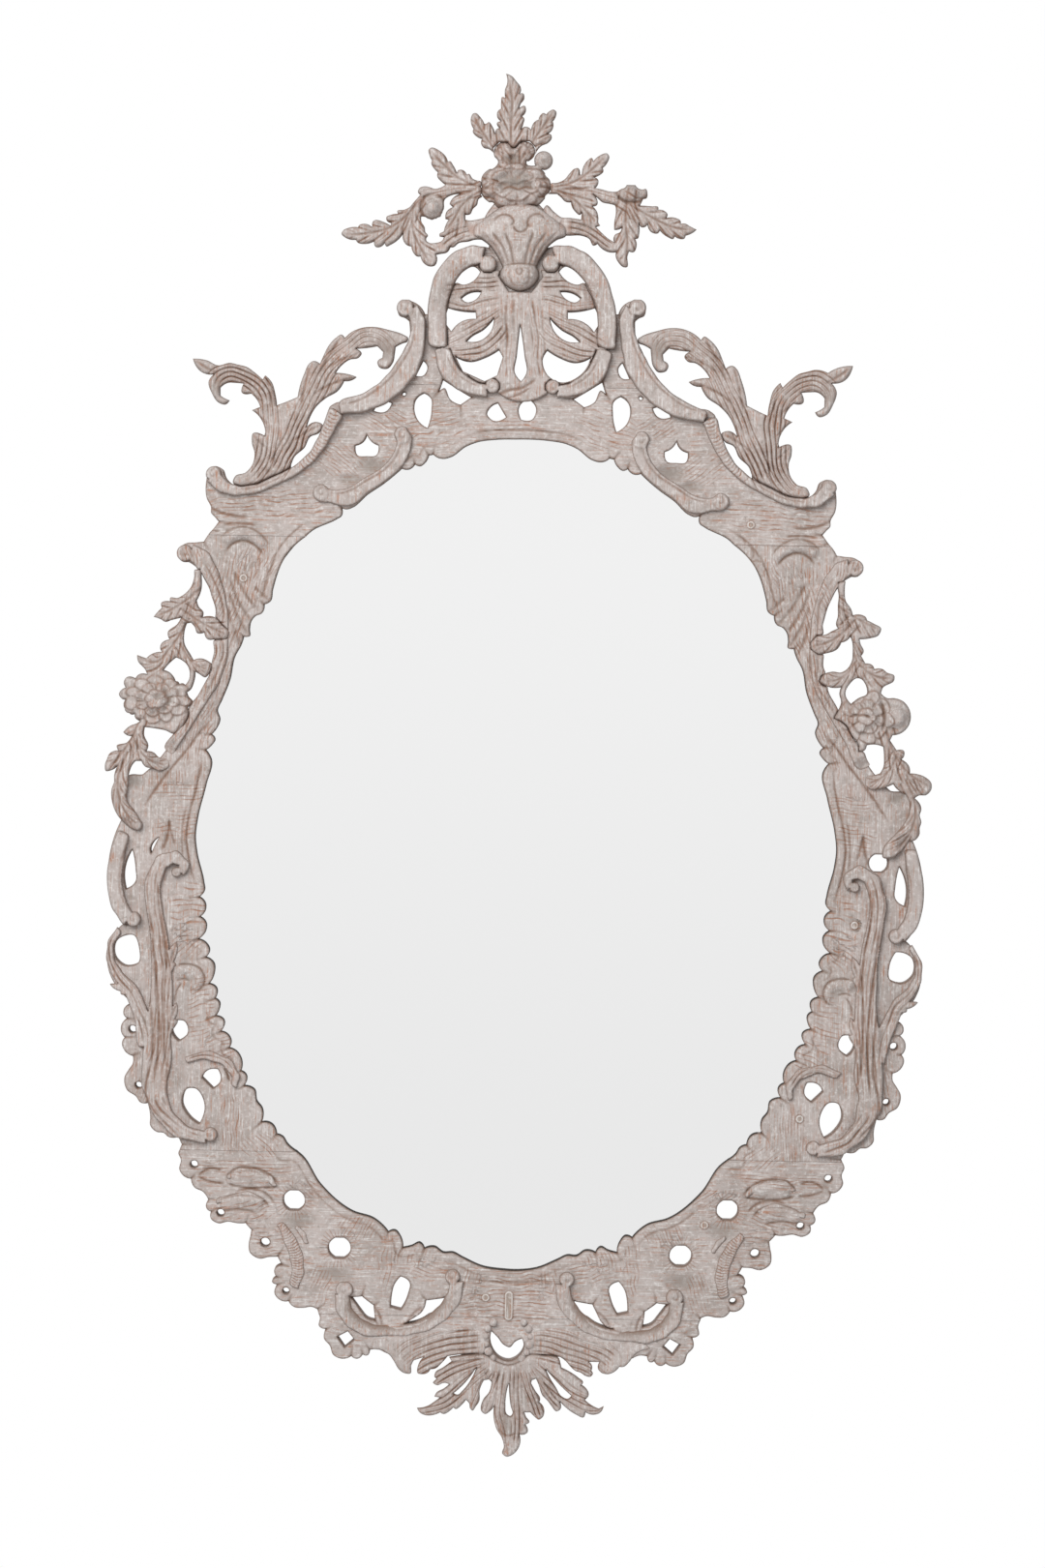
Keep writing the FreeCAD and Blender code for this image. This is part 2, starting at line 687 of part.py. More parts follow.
def build_boards():
    """Six boards of the carcass, pierced, rebated behind for the glass and bored for what enters them."""
    clear = dim("bore_clearance")
    rebate = oval(
        "rebate", "dimensions.plate_lap + dimensions.plate_clearance",
        "-dimensions.back_thickness - dimensions.rebate_depth", "dimensions.rebate_depth",
    )
    bores = [dowel(*spot, extra=clear) for spot in DOWELS]
    bores += [nail(x, z, clear) for x, z in back_nail_spots()]
    for sign in (-1, 1):
        bores += [screw(x, z, STRAP_FACE, clear) for x, z in hanger_screw_spots(sign)]
    bores += [plug(*spot, extra=clear) for spot in PLUGS]
    boring = doc.addObject("Part::Feature", "boring")
    boring.Shape = Part.makeCompound(bores)
    whole = carcass_face()
    for label, area in BANDS.items():
        outline = doc.addObject("Part::Feature", label + "_outline")
        outline.Shape = whole.common(area)
        outline.setExpression(".Placement.Base.y", "-dimensions.back_thickness")
        blank = doc.addObject("Part::Extrusion", label + "_blank")
        blank.Base = outline
        blank.DirMode = "Custom"
        blank.Dir = OUT
        blank.setExpression("LengthFwd", "dimensions.board_thickness")
        blank.Solid = True
        rebated = doc.addObject("Part::Cut", label + "_rebated")
        rebated.Base = blank
        rebated.Tool = rebate
        board = doc.addObject("Part::Cut", label)
        board.Base = rebated
        board.Tool = boring
        keep(board, label)
    group("frame_dowels", [dowel(*spot) for spot in DOWELS])
    group("face_plugs", [plug(*spot) for spot in PLUGS])


def back_nail_spots():
    """Places of the back board's nails, near its edge."""
    return oval_spots(dim("nail_count"), dim("back_lap") - dim("nail_edge"))


def build_glazing():
    """Mirror plate in the rebate, packers behind it, and the back board nailed over both."""
    near = "-dimensions.back_thickness - dimensions.rebate_depth + dimensions.plate_seat"
    keep(oval("plate", "dimensions.plate_lap", near, "dimensions.plate_thickness"), "mirror_plate")
    blank = oval("back", "dimensions.back_lap", "-dimensions.back_thickness + dimensions.board_gap",
                 "dimensions.back_thickness - dimensions.board_gap")
    bores = doc.addObject("Part::Feature", "back_boring")
    clear = dim("bore_clearance")
    bores.Shape = Part.makeCompound([nail(x, z, clear) for x, z in back_nail_spots()])
    back = doc.addObject("Part::Cut", "back_board")
    back.Base = blank
    back.Tool = bores
    keep(back, "back_board")
    group("back_board_nails", [nail(x, z) for x, z in back_nail_spots()])
    seat = dim("plate_seat")
    plate_back = BOARD_BACK - dim("rebate_depth") + seat + dim("plate_thickness")
    thick = BOARD_BACK + dim("board_gap") - plate_back - 2 * seat
    packers = []
    for x, z in oval_spots(dim("packer_count"), -dim("packer_width") / 2, turn=0.0):
        block = Part.makeBox(dim("packer_length"), thick, dim("packer_width"))
        block.translate(Vector(-dim("packer_length") / 2, 0, -dim("packer_width") / 2))
        slope = math.degrees(math.atan2(x / dim("sight_width") ** 2, z / dim("sight_height") ** 2))
        block.rotate(Vector(), Vector(0, 1, 0), slope)
        block.translate(Vector(x, plate_back + seat, z))
        packers.append(block)
    group("plate_packers", packers)


def build_hanger(name, sign):
    """Ring hanger: a strap rolled round the straight bar of a D ring, held by two screws."""
    axis = Vector(hanger_side(sign), RING_AXIS_Y, RING_AXIS_Z)
    strap = doc.addObject("Part::Box", f"strap_{name}")
    strap.setExpression("Length", "dimensions.strap_width")
    strap.setExpression("Width", "dimensions.strap_thickness")
    strap.setExpression("Height", "dimensions.strap_length + dimensions.strap_thickness")
    strap.Placement.Base = Vector(hanger_side(sign) - dim("strap_width") / 2, BOARD_BACK, hanger_foot())
    tube = doc.addObject("Part::Cylinder", f"knuckle_{name}")
    tube.Radius = KNUCKLE
    tube.setExpression("Height", "dimensions.knuckle_length")
    across = Rotation(Vector(0, 0, 1), Vector(1, 0, 0))
    tube.Placement = Placement(axis - Vector(dim("knuckle_length") / 2, 0, 0), across)
    rolled = doc.addObject("Part::Fuse", f"rolled_{name}")
    rolled.Base = strap
    rolled.Tool = tube
    eye = doc.addObject("Part::Cylinder", f"knuckle_eye_{name}")
    eye.setExpression("Radius", "dimensions.wire_diameter / 2 + dimensions.ring_clearance")
    eye.setExpression("Height", "dimensions.ring_width + dimensions.strap_width")
    reach = (dim("ring_width") + dim("strap_width")) / 2
    eye.Placement = Placement(axis - Vector(reach, 0, 0), across)
    opened = doc.addObject("Part::Cut", f"opened_{name}")
    opened.Base = rolled
    opened.Tool = eye
    holes = doc.addObject("Part::Feature", f"strap_holes_{name}")
    clear = dim("bore_clearance")
    holes.Shape = Part.makeCompound([screw(x, z, STRAP_FACE, clear) for x, z in hanger_screw_spots(sign)])
    drilled = doc.addObject("Part::Cut", f"hanger_strap_{name}")
    drilled.Base = opened
    drilled.Tool = holes
    keep(drilled, f"hanger_strap_{name}")
    wire = doc.addObject("Part::Feature", f"hanger_ring_{name}")
    wire.Shape = d_ring()
    wire.Placement = Placement(axis, Rotation())
    keep(wire, f"hanger_ring_{name}")


def d_ring():
    """D ring of drawn wire about its own bar: the bar, two corners and a half circle above."""
    half = dim("ring_width") / 2
    corner = dim("ring_corner")
    bends = [
        (half - corner, corner, -90, 0, 3),
        (0, half, 0, 180, RING_CUTS),
        (corner - half, corner, 180, 270, 3),
    ]
    sections = []
    for middle, radius, begin, end, cuts in bends:
        for cut in range(cuts + 1):
            angle = math.radians(begin + (end - begin) * cut / cuts)
            spot = Vector(middle + radius * math.cos(angle), 0, corner + radius * math.sin(angle))
            along = Vector(-math.sin(angle), 0, math.cos(angle))
            if not sections or (spot - sections[-1][0]).Length > SINK / 4:
                sections.append((spot, along))
    return faceted([wire_section(*section) for section in sections], endless=True)


def wire_section(spot, along):
    """Eight-sided section of the ring's wire at a place on its path."""
    outward = Vector(along.z, 0, -along.x)
    radius = dim("wire_diameter") / 2
    angles = [math.pi * (2 * index + 1) / 8 for index in range(8)]
    return [spot + outward * (radius * math.cos(a)) + OUT * (radius * math.sin(a)) for a in angles]


def ribs(side, rows):
    """Sloping-sided members from rows of (points, widths, height)."""
    return [Stroke(side, *row) for row in rows]


def crest_scroll(side):
    """C-scroll of the crest with its counter-scroll below."""
    high = dim("scroll_height")
    rows = [
        ([(-42, 724), (-56, 724), (-70, 718), (-82, 706), (-92, 688), (-97, 668), (-98, 645), (-96, 616)],
         [20, 24, 25, 25, 25, 23, 23, 20], high),
        ([(-92, 610), (-87.5, 594), (-79, 580), (-66, 570), (-51, 563.5), (-38, 562)],
         [18, 22, 22, 20, 16, 14], high * 0.8),
    ]
    return ribs(side, rows) + [Dome(side, (-37, 714), 11, high), Dome(side, (-31.5, 567), 9, high * 0.8)]


# Edge of the crest's shell, left half, along the middle of the scrolls and down to its foot
SHELL_EDGE = [
    (-30, 706), (-42, 724), (-70, 718), (-82, 706), (-92, 688), (-97, 668), (-98, 645), (-96, 616),
    (-87, 594), (-79, 580), (-66, 570), (-46, 563), (-32, 567), (-22, 557), (-8, 550),
]


def crest_shell():
    """Pierced shell between the crest scrolls, open where the board behind it is."""
    edge = corners_of(left, SHELL_EDGE) + corners_of(right, SHELL_EDGE[::-1])
    openings = [loop(left, SHELL_SLOT)]
    for side in (left, right):
        openings += [loop(side, points) for points in SHELL_LOOPS]
    return [Slab(edge, dim("rail_relief"), openings)]


VASE_AXIS = 2.0
VASE_FOOT = 682.0
# Height of each level of the vase over the one below it
VASE_STAGES = {"foot": 0.0, "bulb": 17.0, "waist": 12.0, "flare": 22.0, "bowl": 17.0, "neck": 33.0}
VASE_LEVELS = list(VASE_STAGES)


class Vase:
    """Half a vase pared round an upright axis, with a boss on its bulb and room left round it."""

    def __init__(self, room=0.0):
        self.room = room
        foot = upright(VASE_AXIS, VASE_FOOT)
        levels = itertools.accumulate(VASE_STAGES.values())
        self.centres = [Vector(foot.x, 0, foot.z + level * STRETCH_Z) for level in levels]
        self.radii = [dim("vase_" + name) * GROWTH for name in VASE_LEVELS]

    def solid(self):
        """Eight-sided sections stacked up the axis."""
        up = Vector(0, 0, 1)
        body = faceted([octagon(centre, radius, up) for centre, radius in zip(self.centres, self.radii)])
        bulb = VASE_LEVELS.index("bulb")
        front = self.centres[bulb] + OUT * (self.radii[bulb] - SINK * 2)
        boss = [octagon(front, self.radii[bulb] / 3), octagon(front + OUT * SINK * 2, self.radii[bulb] / 5)]
        return body.fuse(faceted(boss))

    def shadow(self, gap):
        """Upright block over the vase, its room and a gap round them."""
        gap += self.room
        spans = list(zip(self.centres, self.radii))
        edge = [centre + Vector(radius + gap, 0, 0) for centre, radius in spans]
        other = [centre - Vector(radius + gap, 0, 0) for centre, radius in reversed(spans)]
        edge[0] -= Vector(0, 0, gap)
        other[-1] -= Vector(0, 0, gap)
        return prism([closed(edge + other)], SINK * 2, -FAR / 10)


def blossom(side, centre, reach, petal, count, height):
    """Open flower: a ring of petals round a domed heart."""
    petals = []
    for index in range(count):
        angle = 2 * math.pi * index / count
        spot = (centre[0] + reach[0] * math.cos(angle), centre[1] + reach[1] * math.sin(angle))
        petals.append(Dome(side, spot, petal, height))
    return petals + [Dome(side, centre, max(reach) * 0.8, height * 1.6)]


def crest_rose():
    """Bouquet over the vase: an open rose, a cup flower, a bud and the petals that back them."""
    high = dim("petal_height")
    flowers = blossom(left, (-4, 808), (27, 14), 17, 9, high * 1.4)
    return flowers + [
        Dome(left, (-8, 836), 19, high * 1.6), Dome(left, (30, 838), 12, high * 1.5),
        Dome(left, (-18, 848), 13, high), Dome(left, (8, 849), 13, high),
    ]


# Three upright leaves over the bouquet, from the foot of the left one round to the right one's
TOP_LEAVES_EDGE = [
    (-30, 847), (-36, 852), (-41, 853), (-45, 858), (-44, 864), (-49, 866), (-55, 874), (-54, 876),
    (-57, 882), (-57, 890), (-55, 894), (-52, 895), (-46, 890), (-41, 882), (-39, 882), (-36, 884), (-31, 878),
    (-28, 870), (-26, 876), (-23, 877), (-26, 883), (-21, 885), (-26, 892), (-25, 897), (-21, 900),
    (-21, 908), (-20, 914), (-16, 913), (-16, 924), (-14, 929), (-15, 942), (-8, 939), (-2, 932), (2, 927),
    (3, 922), (1, 918), (6, 918), (7, 913), (2, 905), (1, 901), (8, 903), (9, 899), (4, 891), (7, 888),
    (6, 883), (3, 875), (6, 878), (11, 878), (15, 875), (16, 879), (20, 885), (24, 887), (26, 892), (30, 895),
    (33, 893), (37, 897), (42, 899), (45, 897), (44, 889), (41, 885), (42, 880), (41, 876), (35, 870),
    (39, 869), (40, 866), (35, 859), (28, 856), (23, 851), (20, 845), (-10, 838),
]


def crest_top_leaves():
    """Three upright leaves that rise behind the bouquet."""
    return [Slab(corners_of(left, TOP_LEAVES_EDGE), dim("leaf_height"))]


# Left spray of the crest: upper leaf, stem, far leaf, drooping leaf, handle, lower leaf and the eye in it
LEFT_SPRAY_EDGE = [
    (-32, 810), (-50, 814), (-55, 816), (-60, 822), (-62, 821), (-69, 827), (-73, 826), (-74, 823),
    (-79, 833), (-82, 837), (-85, 837), (-87, 842), (-94, 849), (-97, 850), (-106, 853), (-108, 851),
    (-107, 844), (-104, 838), (-105, 835), (-102, 829), (-97, 824), (-98, 820), (-93, 813), (-88, 809),
    (-95, 805), (-101, 804), (-107, 806), (-112, 807), (-119, 805), (-121, 800), (-118, 797), (-126, 788),
    (-131, 782), (-137, 779), (-146, 777), (-145, 774), (-153, 773), (-159, 770), (-159, 767), (-153, 763),
    (-154, 760), (-176, 763), (-176, 758), (-184, 762), (-192, 760), (-193, 758), (-205, 757), (-211, 754),
    (-213, 750), (-209, 746), (-201, 743), (-196, 743), (-194, 740), (-185, 738), (-174, 741), (-171, 734),
    (-168, 734), (-161, 739), (-159, 735), (-154, 737), (-145, 743), (-139, 750), (-139, 743), (-135, 737),
    (-129, 735), (-127, 728), (-122, 723), (-118, 723), (-115, 716), (-107, 711), (-101, 712), (-98, 718),
    (-99, 725), (-94, 726), (-86, 728), (-82, 734), (-79, 734), (-72, 739), (-60, 741), (-53, 743), (-44, 743),
    (-31, 738), (-20, 745), (-16, 765), (-26, 777), (-39, 770), (-50, 767), (-60, 766), (-64, 767), (-64, 773),
    (-58, 774), (-55, 780), (-50, 785), (-48, 792), (-43, 796), (-30, 798),
]
LEFT_SPRAY_EYE = [
    (-89, 791), (-79, 797), (-70, 798), (-78, 794), (-83, 786), (-79, 782), (-87, 776), (-88, 768), (-84, 767),
    (-89, 757), (-90, 753), (-95, 750), (-95, 747), (-90, 746), (-92, 742), (-100, 739), (-107, 739), (-111, 742),
    (-111, 745), (-109, 748), (-112, 752), (-113, 758), (-117, 765), (-117, 771), (-104, 767), (-94, 771),
    (-90, 780),
]


def crest_spray_left():
    """Left handle of the vase, with the leaves, stem, bud and fruit that spring from it."""
    high = dim("leaf_height")
    sheet = Slab(corners_of(left, LEFT_SPRAY_EDGE), high, [loop(left, LEFT_SPRAY_EYE)])
    return [sheet, Dome(left, (-104, 781), 14, high * 1.5)]


# Right spray of the crest, in the same order, its fruit standing out of the stem
RIGHT_SPRAY_EDGE = [
    (32, 810), (45, 811), (55, 815), (61, 822), (67, 828), (71, 829), (74, 821), (76, 821), (78, 831),
    (82, 837), (88, 841), (90, 837), (96, 843), (107, 846), (109, 843), (107, 836), (101, 829), (102, 825),
    (98, 821), (91, 818), (96, 814), (96, 811), (92, 805), (101, 803), (108, 801), (119, 801), (124, 804),
    (136, 806), (149, 803), (153, 804), (155, 799), (154, 793), (150, 792), (146, 784), (160, 783), (168, 782),
    (168, 779), (176, 777), (179, 774), (178, 769), (189, 769), (195, 765), (195, 762), (201, 762), (206, 759),
    (214, 755), (209, 751), (201, 748), (200, 745), (191, 745), (188, 747), (186, 744), (180, 746), (170, 754),
    (168, 751), (160, 752), (156, 757), (155, 761), (151, 758), (148, 758), (145, 762), (145, 754), (145, 749),
    (144, 745), (140, 744), (142, 739), (138, 728), (133, 729), (131, 723), (130, 710), (127, 710), (120, 716),
    (117, 722), (117, 728), (109, 728), (102, 731), (95, 738), (90, 736), (85, 744), (75, 748), (63, 748),
    (50, 747), (41, 742), (37, 740), (20, 746), (18, 766), (33, 784), (43, 776), (51, 770), (63, 769), (75, 767),
    (76, 775), (74, 773), (68, 777), (64, 783), (63, 788), (56, 789), (51, 794), (46, 798), (30, 798),
]
RIGHT_SPRAY_EYE = [
    (90, 797), (95, 793), (101, 788), (110, 786), (116, 784), (117, 777), (115, 763), (115, 755), (119, 755),
    (124, 757), (122, 752), (116, 749), (114, 744), (115, 740), (108, 744), (100, 751), (93, 758), (98, 760),
    (96, 763), (96, 769), (94, 777), (89, 783), (95, 786), (95, 789),
]


def crest_spray_right():
    """Right handle of the vase, with the leaves, stems and fruit that spring from it."""
    high = dim("leaf_height")
    sheet = Slab(corners_of(left, RIGHT_SPRAY_EDGE), high, [loop(left, RIGHT_SPRAY_EYE)])
    return [sheet, Dome(left, (135, 796), 14, high * 1.5)]


def shoulder_scroll(side):
    """S-scroll from the crest to the shoulder, and the rim that carries on round the spray."""
    high = dim("scroll_height")
    rows = [
        ([(-128, 660), (-122, 648), (-121, 632), (-124, 614), (-133, 592), (-147, 573), (-164, 558),
          (-186, 547), (-215, 540)], [16, 18, 18, 22, 28, 27, 25, 22, 14], high),
        ([(-221, 536), (-228, 518), (-236, 501), (-248, 483), (-264, 469), (-296, 452), (-318, 443),
          (-338, 441), (-355, 446), (-367, 458)], [17, 16, 14, 12, 11, 11, 11, 12, 16, 20], high * 0.8),
    ]
    return ribs(side, rows) + [Dome(side, (-136, 661), 11, high), Dome(side, (-367, 461), 10, high * 0.8)]


# Two acanthus fronds of the shoulder, up the outer one, over to the inner one and back to the rim
SPRAY_EDGE = [
    (-341, 459), (-329, 463), (-321, 472), (-318, 487), (-321, 498), (-320, 510), (-305, 507), (-306, 518),
    (-312, 530), (-321, 538), (-311, 542), (-314, 549), (-322, 558), (-333, 559), (-331, 570), (-341, 571),
    (-350, 571), (-359, 565), (-359, 556), (-353, 552), (-348, 550), (-353, 545), (-361, 547), (-369, 558),
    (-373, 573), (-367, 581), (-380, 583), (-392, 600), (-375, 598), (-362, 592), (-347, 595), (-338, 593),
    (-327, 590), (-317, 583), (-308, 575), (-305, 580), (-298, 573), (-293, 558), (-291, 544), (-280, 548),
    (-266, 554), (-263, 568), (-258, 582), (-252, 594), (-248, 597), (-239, 594), (-235, 603), (-229, 615),
    (-220, 625), (-213, 629), (-209, 625), (-201, 632), (-189, 637), (-172, 638), (-158, 635), (-137, 628),
    (-128, 622), (-138, 619), (-148, 614), (-149, 606), (-151, 596), (-158, 588), (-168, 590), (-170, 596),
    (-164, 601), (-163, 608), (-170, 615), (-182, 613), (-195, 612), (-189, 606), (-193, 601), (-203, 599),
    (-213, 592), (-220, 583), (-208, 582), (-195, 578), (-199, 575), (-210, 573), (-217, 562), (-233, 552),
    (-244, 542), (-251, 530), (-255, 518), (-244, 524), (-234, 520), (-240, 511), (-251, 506), (-258, 493),
    (-270, 482), (-277, 467), (-272, 463), (-296, 452), (-318, 443), (-338, 441), (-346, 445),
]


def shoulder_spray(side):
    """Two acanthus fronds that spring from the rim, the outer one curling over to a tip."""
    return [Slab(corners_of(side, SPRAY_EDGE), dim("leaf_height"))]


# Flat scroll under the shoulder: down the sight edge, round its lower eye and back
EAR_EDGE = [
    (-136, 518), (-129, 508), (-129, 497), (-133, 483), (-141, 470), (-163, 451), (-181, 439), (-200, 424),
    (-213, 423), (-228, 427), (-242, 429), (-248, 437), (-245, 446), (-237, 449), (-227, 443), (-208, 444),
    (-187, 456), (-163, 471), (-151, 487), (-147, 500), (-150, 510), (-145, 518),
]


def ear_scroll(side):
    """Flat scroll along the sight edge below the shoulder, with an eye at each end."""
    low = dim("rail_relief")
    eyes = [Dome(side, (-139, 508), 9, low * 1.3), Dome(side, (-237, 439), 8.5, low * 1.3)]
    return [Slab(corners_of(side, EAR_EDGE), low)] + eyes


def stile_rib(side):
    """Long rib down the upper stile, from its volute at the shoulder to the flower trail's foot."""
    high = dim("scroll_height") * 0.8
    rows = [([(-395, 367), (-384, 361), (-373, 345), (-364, 323), (-358, 297), (-357.5, 270), (-359, 245),
              (-367, 215), (-381, 191), (-399, 163), (-422, 127)],
             [20, 22, 20, 17, 15, 16, 17, 15, 14, 14, 12], high)]
    return ribs(side, rows) + [Dome(side, (-402, 366), 10.5, high)]


# Left trail: down its outer side, round the flower, the low leaves and the foot leaf, and up the inner side
LEFT_TRAIL_EDGE = [
    (-390, 346), (-391, 337), (-395, 325), (-400, 319), (-405, 315), (-411, 312), (-420, 312), (-420, 308),
    (-431, 305), (-430, 300), (-437, 293), (-440, 289), (-431, 286), (-426, 283), (-419, 285), (-407, 288),
    (-411, 281), (-423, 270), (-421, 262), (-432, 254), (-432, 250), (-430, 247), (-446, 242), (-449, 239),
    (-460, 243), (-459, 236), (-450, 225), (-448, 220), (-459, 219), (-462, 215), (-473, 216), (-476, 211),
    (-474, 204), (-479, 201), (-482, 196), (-478, 190), (-472, 188), (-475, 178), (-470, 173), (-462, 174),
    (-460, 168), (-456, 164), (-460, 161), (-468, 158), (-477, 150), (-472, 146), (-467, 145), (-472, 138),
    (-485, 133), (-483, 128), (-495, 122), (-496, 119), (-499, 111), (-498, 103), (-491, 104), (-484, 109),
    (-488, 97), (-488, 90), (-491, 82), (-490, 71), (-489, 60), (-483, 48), (-476, 40), (-467, 33), (-457, 32),
    (-454, 38), (-458, 46), (-465, 57), (-472, 66), (-473, 72), (-471, 85), (-470, 101), (-465, 112),
    (-462, 115), (-455, 115), (-450, 108), (-442, 106), (-434, 103), (-422, 109), (-423, 116), (-435, 120),
    (-440, 125), (-449, 127), (-447, 133), (-452, 147), (-451, 156), (-436, 154), (-426, 152), (-417, 148),
    (-409, 156), (-401, 164), (-398, 173), (-399, 180), (-393, 187), (-398, 193), (-400, 198), (-395, 202),
    (-392, 209), (-390, 218), (-390, 223), (-385, 220), (-378, 216), (-372, 223), (-371, 233), (-375, 236),
    (-383, 239), (-392, 237), (-396, 244), (-403, 257), (-403, 271), (-400, 281), (-395, 282), (-390, 276),
    (-388, 270), (-379, 270), (-375, 262), (-364, 262), (-351, 264), (-349, 271), (-357, 279), (-365, 288),
    (-381, 289), (-380, 294), (-386, 302), (-388, 309), (-383, 320), (-382, 335), (-384, 346),
]
LEFT_TRAIL_EYE = [
    (-413, 240), (-398, 228), (-397, 215), (-402, 207), (-407, 209), (-411, 207), (-415, 215), (-421, 222),
    (-428, 225), (-424, 230),
]


def flower_trail_left():
    """Left trail of leaves and an open flower that hangs from the shoulder beside the stile."""
    high = dim("leaf_height")
    sheet = Slab(corners_of(left, LEFT_TRAIL_EDGE), high, [loop(left, LEFT_TRAIL_EYE)])
    return [sheet] + blossom(left, (-438, 189), (27, 17), 13, 9, high * 1.2)


# Right trail, in the same order from the other side
RIGHT_TRAIL_EDGE = [
    (386, 330), (394, 332), (393, 320), (394, 309), (401, 298), (403, 291), (411, 292), (419, 288), (420, 285),
    (428, 281), (437, 275), (434, 267), (423, 263), (411, 262), (412, 257), (416, 247), (413, 242), (418, 233),
    (428, 229), (429, 226), (439, 226), (444, 222), (453, 218), (453, 213), (446, 208), (439, 203), (437, 197),
    (445, 191), (453, 191), (464, 187), (471, 178), (473, 167), (470, 157), (462, 149), (451, 146), (448, 140),
    (456, 128), (465, 127), (465, 121), (462, 117), (472, 106), (472, 100), (482, 99), (490, 96), (498, 88),
    (498, 81), (492, 74), (482, 73), (478, 70), (486, 56), (484, 50), (486, 41), (484, 34), (484, 27), (478, 19),
    (471, 18), (462, 6), (451, -2), (440, -2), (440, 9), (446, 18), (455, 27), (466, 41), (471, 52), (471, 66),
    (467, 75), (459, 79), (452, 87), (442, 83), (421, 83), (418, 88), (420, 96), (430, 98), (436, 100),
    (440, 107), (441, 120), (440, 132), (428, 135), (420, 134), (416, 127), (411, 127), (410, 134), (401, 147),
    (396, 157), (389, 163), (381, 167), (385, 175), (389, 186), (387, 197), (389, 204), (372, 205), (363, 211),
    (366, 218), (379, 223), (389, 222), (396, 226), (402, 236), (403, 247), (402, 260), (400, 265), (395, 260),
    (389, 258), (384, 250), (371, 245), (362, 244), (353, 250), (352, 257), (360, 266), (371, 268), (378, 272),
    (385, 275), (383, 279), (385, 290), (385, 302), (386, 313),
]
RIGHT_TRAIL_EYE = [
    (394, 197), (401, 184), (410, 191), (420, 196), (419, 206), (413, 214), (408, 215), (400, 209),
]


def flower_trail_right():
    """Right trail, whose flower has rolled up into a ball at its outer side."""
    high = dim("leaf_height")
    sheet = Slab(corners_of(left, RIGHT_TRAIL_EDGE), high, [loop(left, RIGHT_TRAIL_EYE)])
    return [
        sheet, Dome(left, (421, 168), 21, high * 1.5), Dome(left, (454, 168), 19, high * 1.7),
        Dome(left, (412, 156), 12, high * 1.4), Dome(left, (431, 188), 9, high * 1.3),
    ]


def side_scroll(side):
    """C-scroll at the widest place of the frame."""
    high = dim("scroll_height") * 0.85
    rows = [([(-478, 28), (-483, 8), (-487.5, -20), (-486, -44), (-480, -63), (-470, -76)],
             [13, 18, 19, 19, 19, 16], high)]
    return ribs(side, rows) + [Dome(side, (-465, -76), 9.5, high)]


def stile_acanthus(side):
    """Acanthus stem down the lower stile, rolled over at its top and ending in a volute."""
    high = dim("scroll_height") * 0.9
    rows = [
        ([(-408, -20), (-405, -8), (-416, -1), (-432, -8), (-441, -30), (-440, -62), (-434, -100),
          (-431, -150), (-433, -200), (-437, -245), (-440, -280), (-429, -312), (-408, -333), (-378, -341)],
         [10, 12, 16, 18, 20, 20, 22, 26, 32, 36, 30, 22, 19, 15], high),
        ([(-483, -88), (-493, -106), (-493, -126), (-484, -144), (-470, -160), (-456, -192), (-448, -230)],
         [6, 8, 10, 13, 17, 20, 16], high * 0.7),
        ([(-402, -247), (-378, -241), (-353, -250), (-342, -266), (-344, -279)], [8, 11, 12, 10, 7], high * 0.5),
    ]
    fronds = [
        ([(-428, -150), (-421, -125), (-413, -103)], 16),
        ([(-424, -215), (-420, -196), (-413, -177)], 16),
        ([(-466, -168), (-478, -161), (-494, -155)], 12),
    ]
    members = ribs(side, rows) + [Leaf(side, points, width, high * 0.7, 2) for points, width in fronds]
    return members + [Dome(side, (-373, -337), 9, high * 0.9), Dome(side, (-413, -19), 6.5, high)]


def rocaille_plumes(side):
    """Separate raised plumes scattered over the lower rail, as rockwork."""
    low = dim("rail_relief")
    return ribs(side, [
        ([(-352, -390), (-340, -383), (-320, -384), (-302, -391), (-294, -400)], [5, 9, 10, 9, 4], low * 0.7),
        ([(-366, -419), (-346, -415), (-325, -411), (-309, -418)], [5, 9, 9, 4], low * 0.7),
        ([(-290, -446), (-279, -462), (-270, -482), (-267, -504), (-272, -522)], [6, 15, 17, 16, 12], low),
        ([(-270, -450), (-262, -458), (-256, -470)], [4, 8, 4], low * 0.6),
    ])


def apron_scroll(side):
    """Long C-scroll at the foot of the frame, an eye at each end."""
    high = dim("scroll_height") * 0.85
    rows = [([(-214, -532), (-211, -551), (-199, -566), (-181, -575), (-158, -576), (-133, -575),
              (-108, -566), (-90, -552), (-78, -534), (-75, -516)],
             [18, 19, 18, 16, 12, 13, 17, 18, 19, 17], high)]
    return ribs(side, rows) + [Dome(side, (-211, -526), 11, high), Dome(side, (-80, -510), 9.5, high)]


# Feathered fans below the apron scrolls, from the middle outward and back along the feather tips
LEFT_FAN_EDGE = [
    (-42, -577), (-64, -570), (-100, -576), (-140, -580), (-176, -586), (-178, -597), (-165, -600), (-156, -606),
    (-150, -615), (-146, -622), (-140, -627), (-131, -628), (-130, -618), (-127, -612), (-115, -608),
    (-121, -616), (-122, -628), (-116, -629), (-110, -627), (-107, -623), (-101, -622), (-93, -615), (-86, -607),
    (-60, -604), (-42, -604), (-39, -592),
]
RIGHT_FAN_EDGE = [
    (14, -579), (36, -572), (80, -578), (120, -583), (150, -588), (160, -598), (144, -603), (139, -607),
    (134, -614), (127, -620), (122, -620), (116, -626), (107, -629), (100, -627), (96, -622), (98, -614),
    (85, -614), (89, -619), (88, -625), (90, -628), (87, -632), (81, -631), (75, -627), (69, -625), (63, -620),
    (57, -613), (50, -608), (30, -605), (12, -604), (10, -592),
]


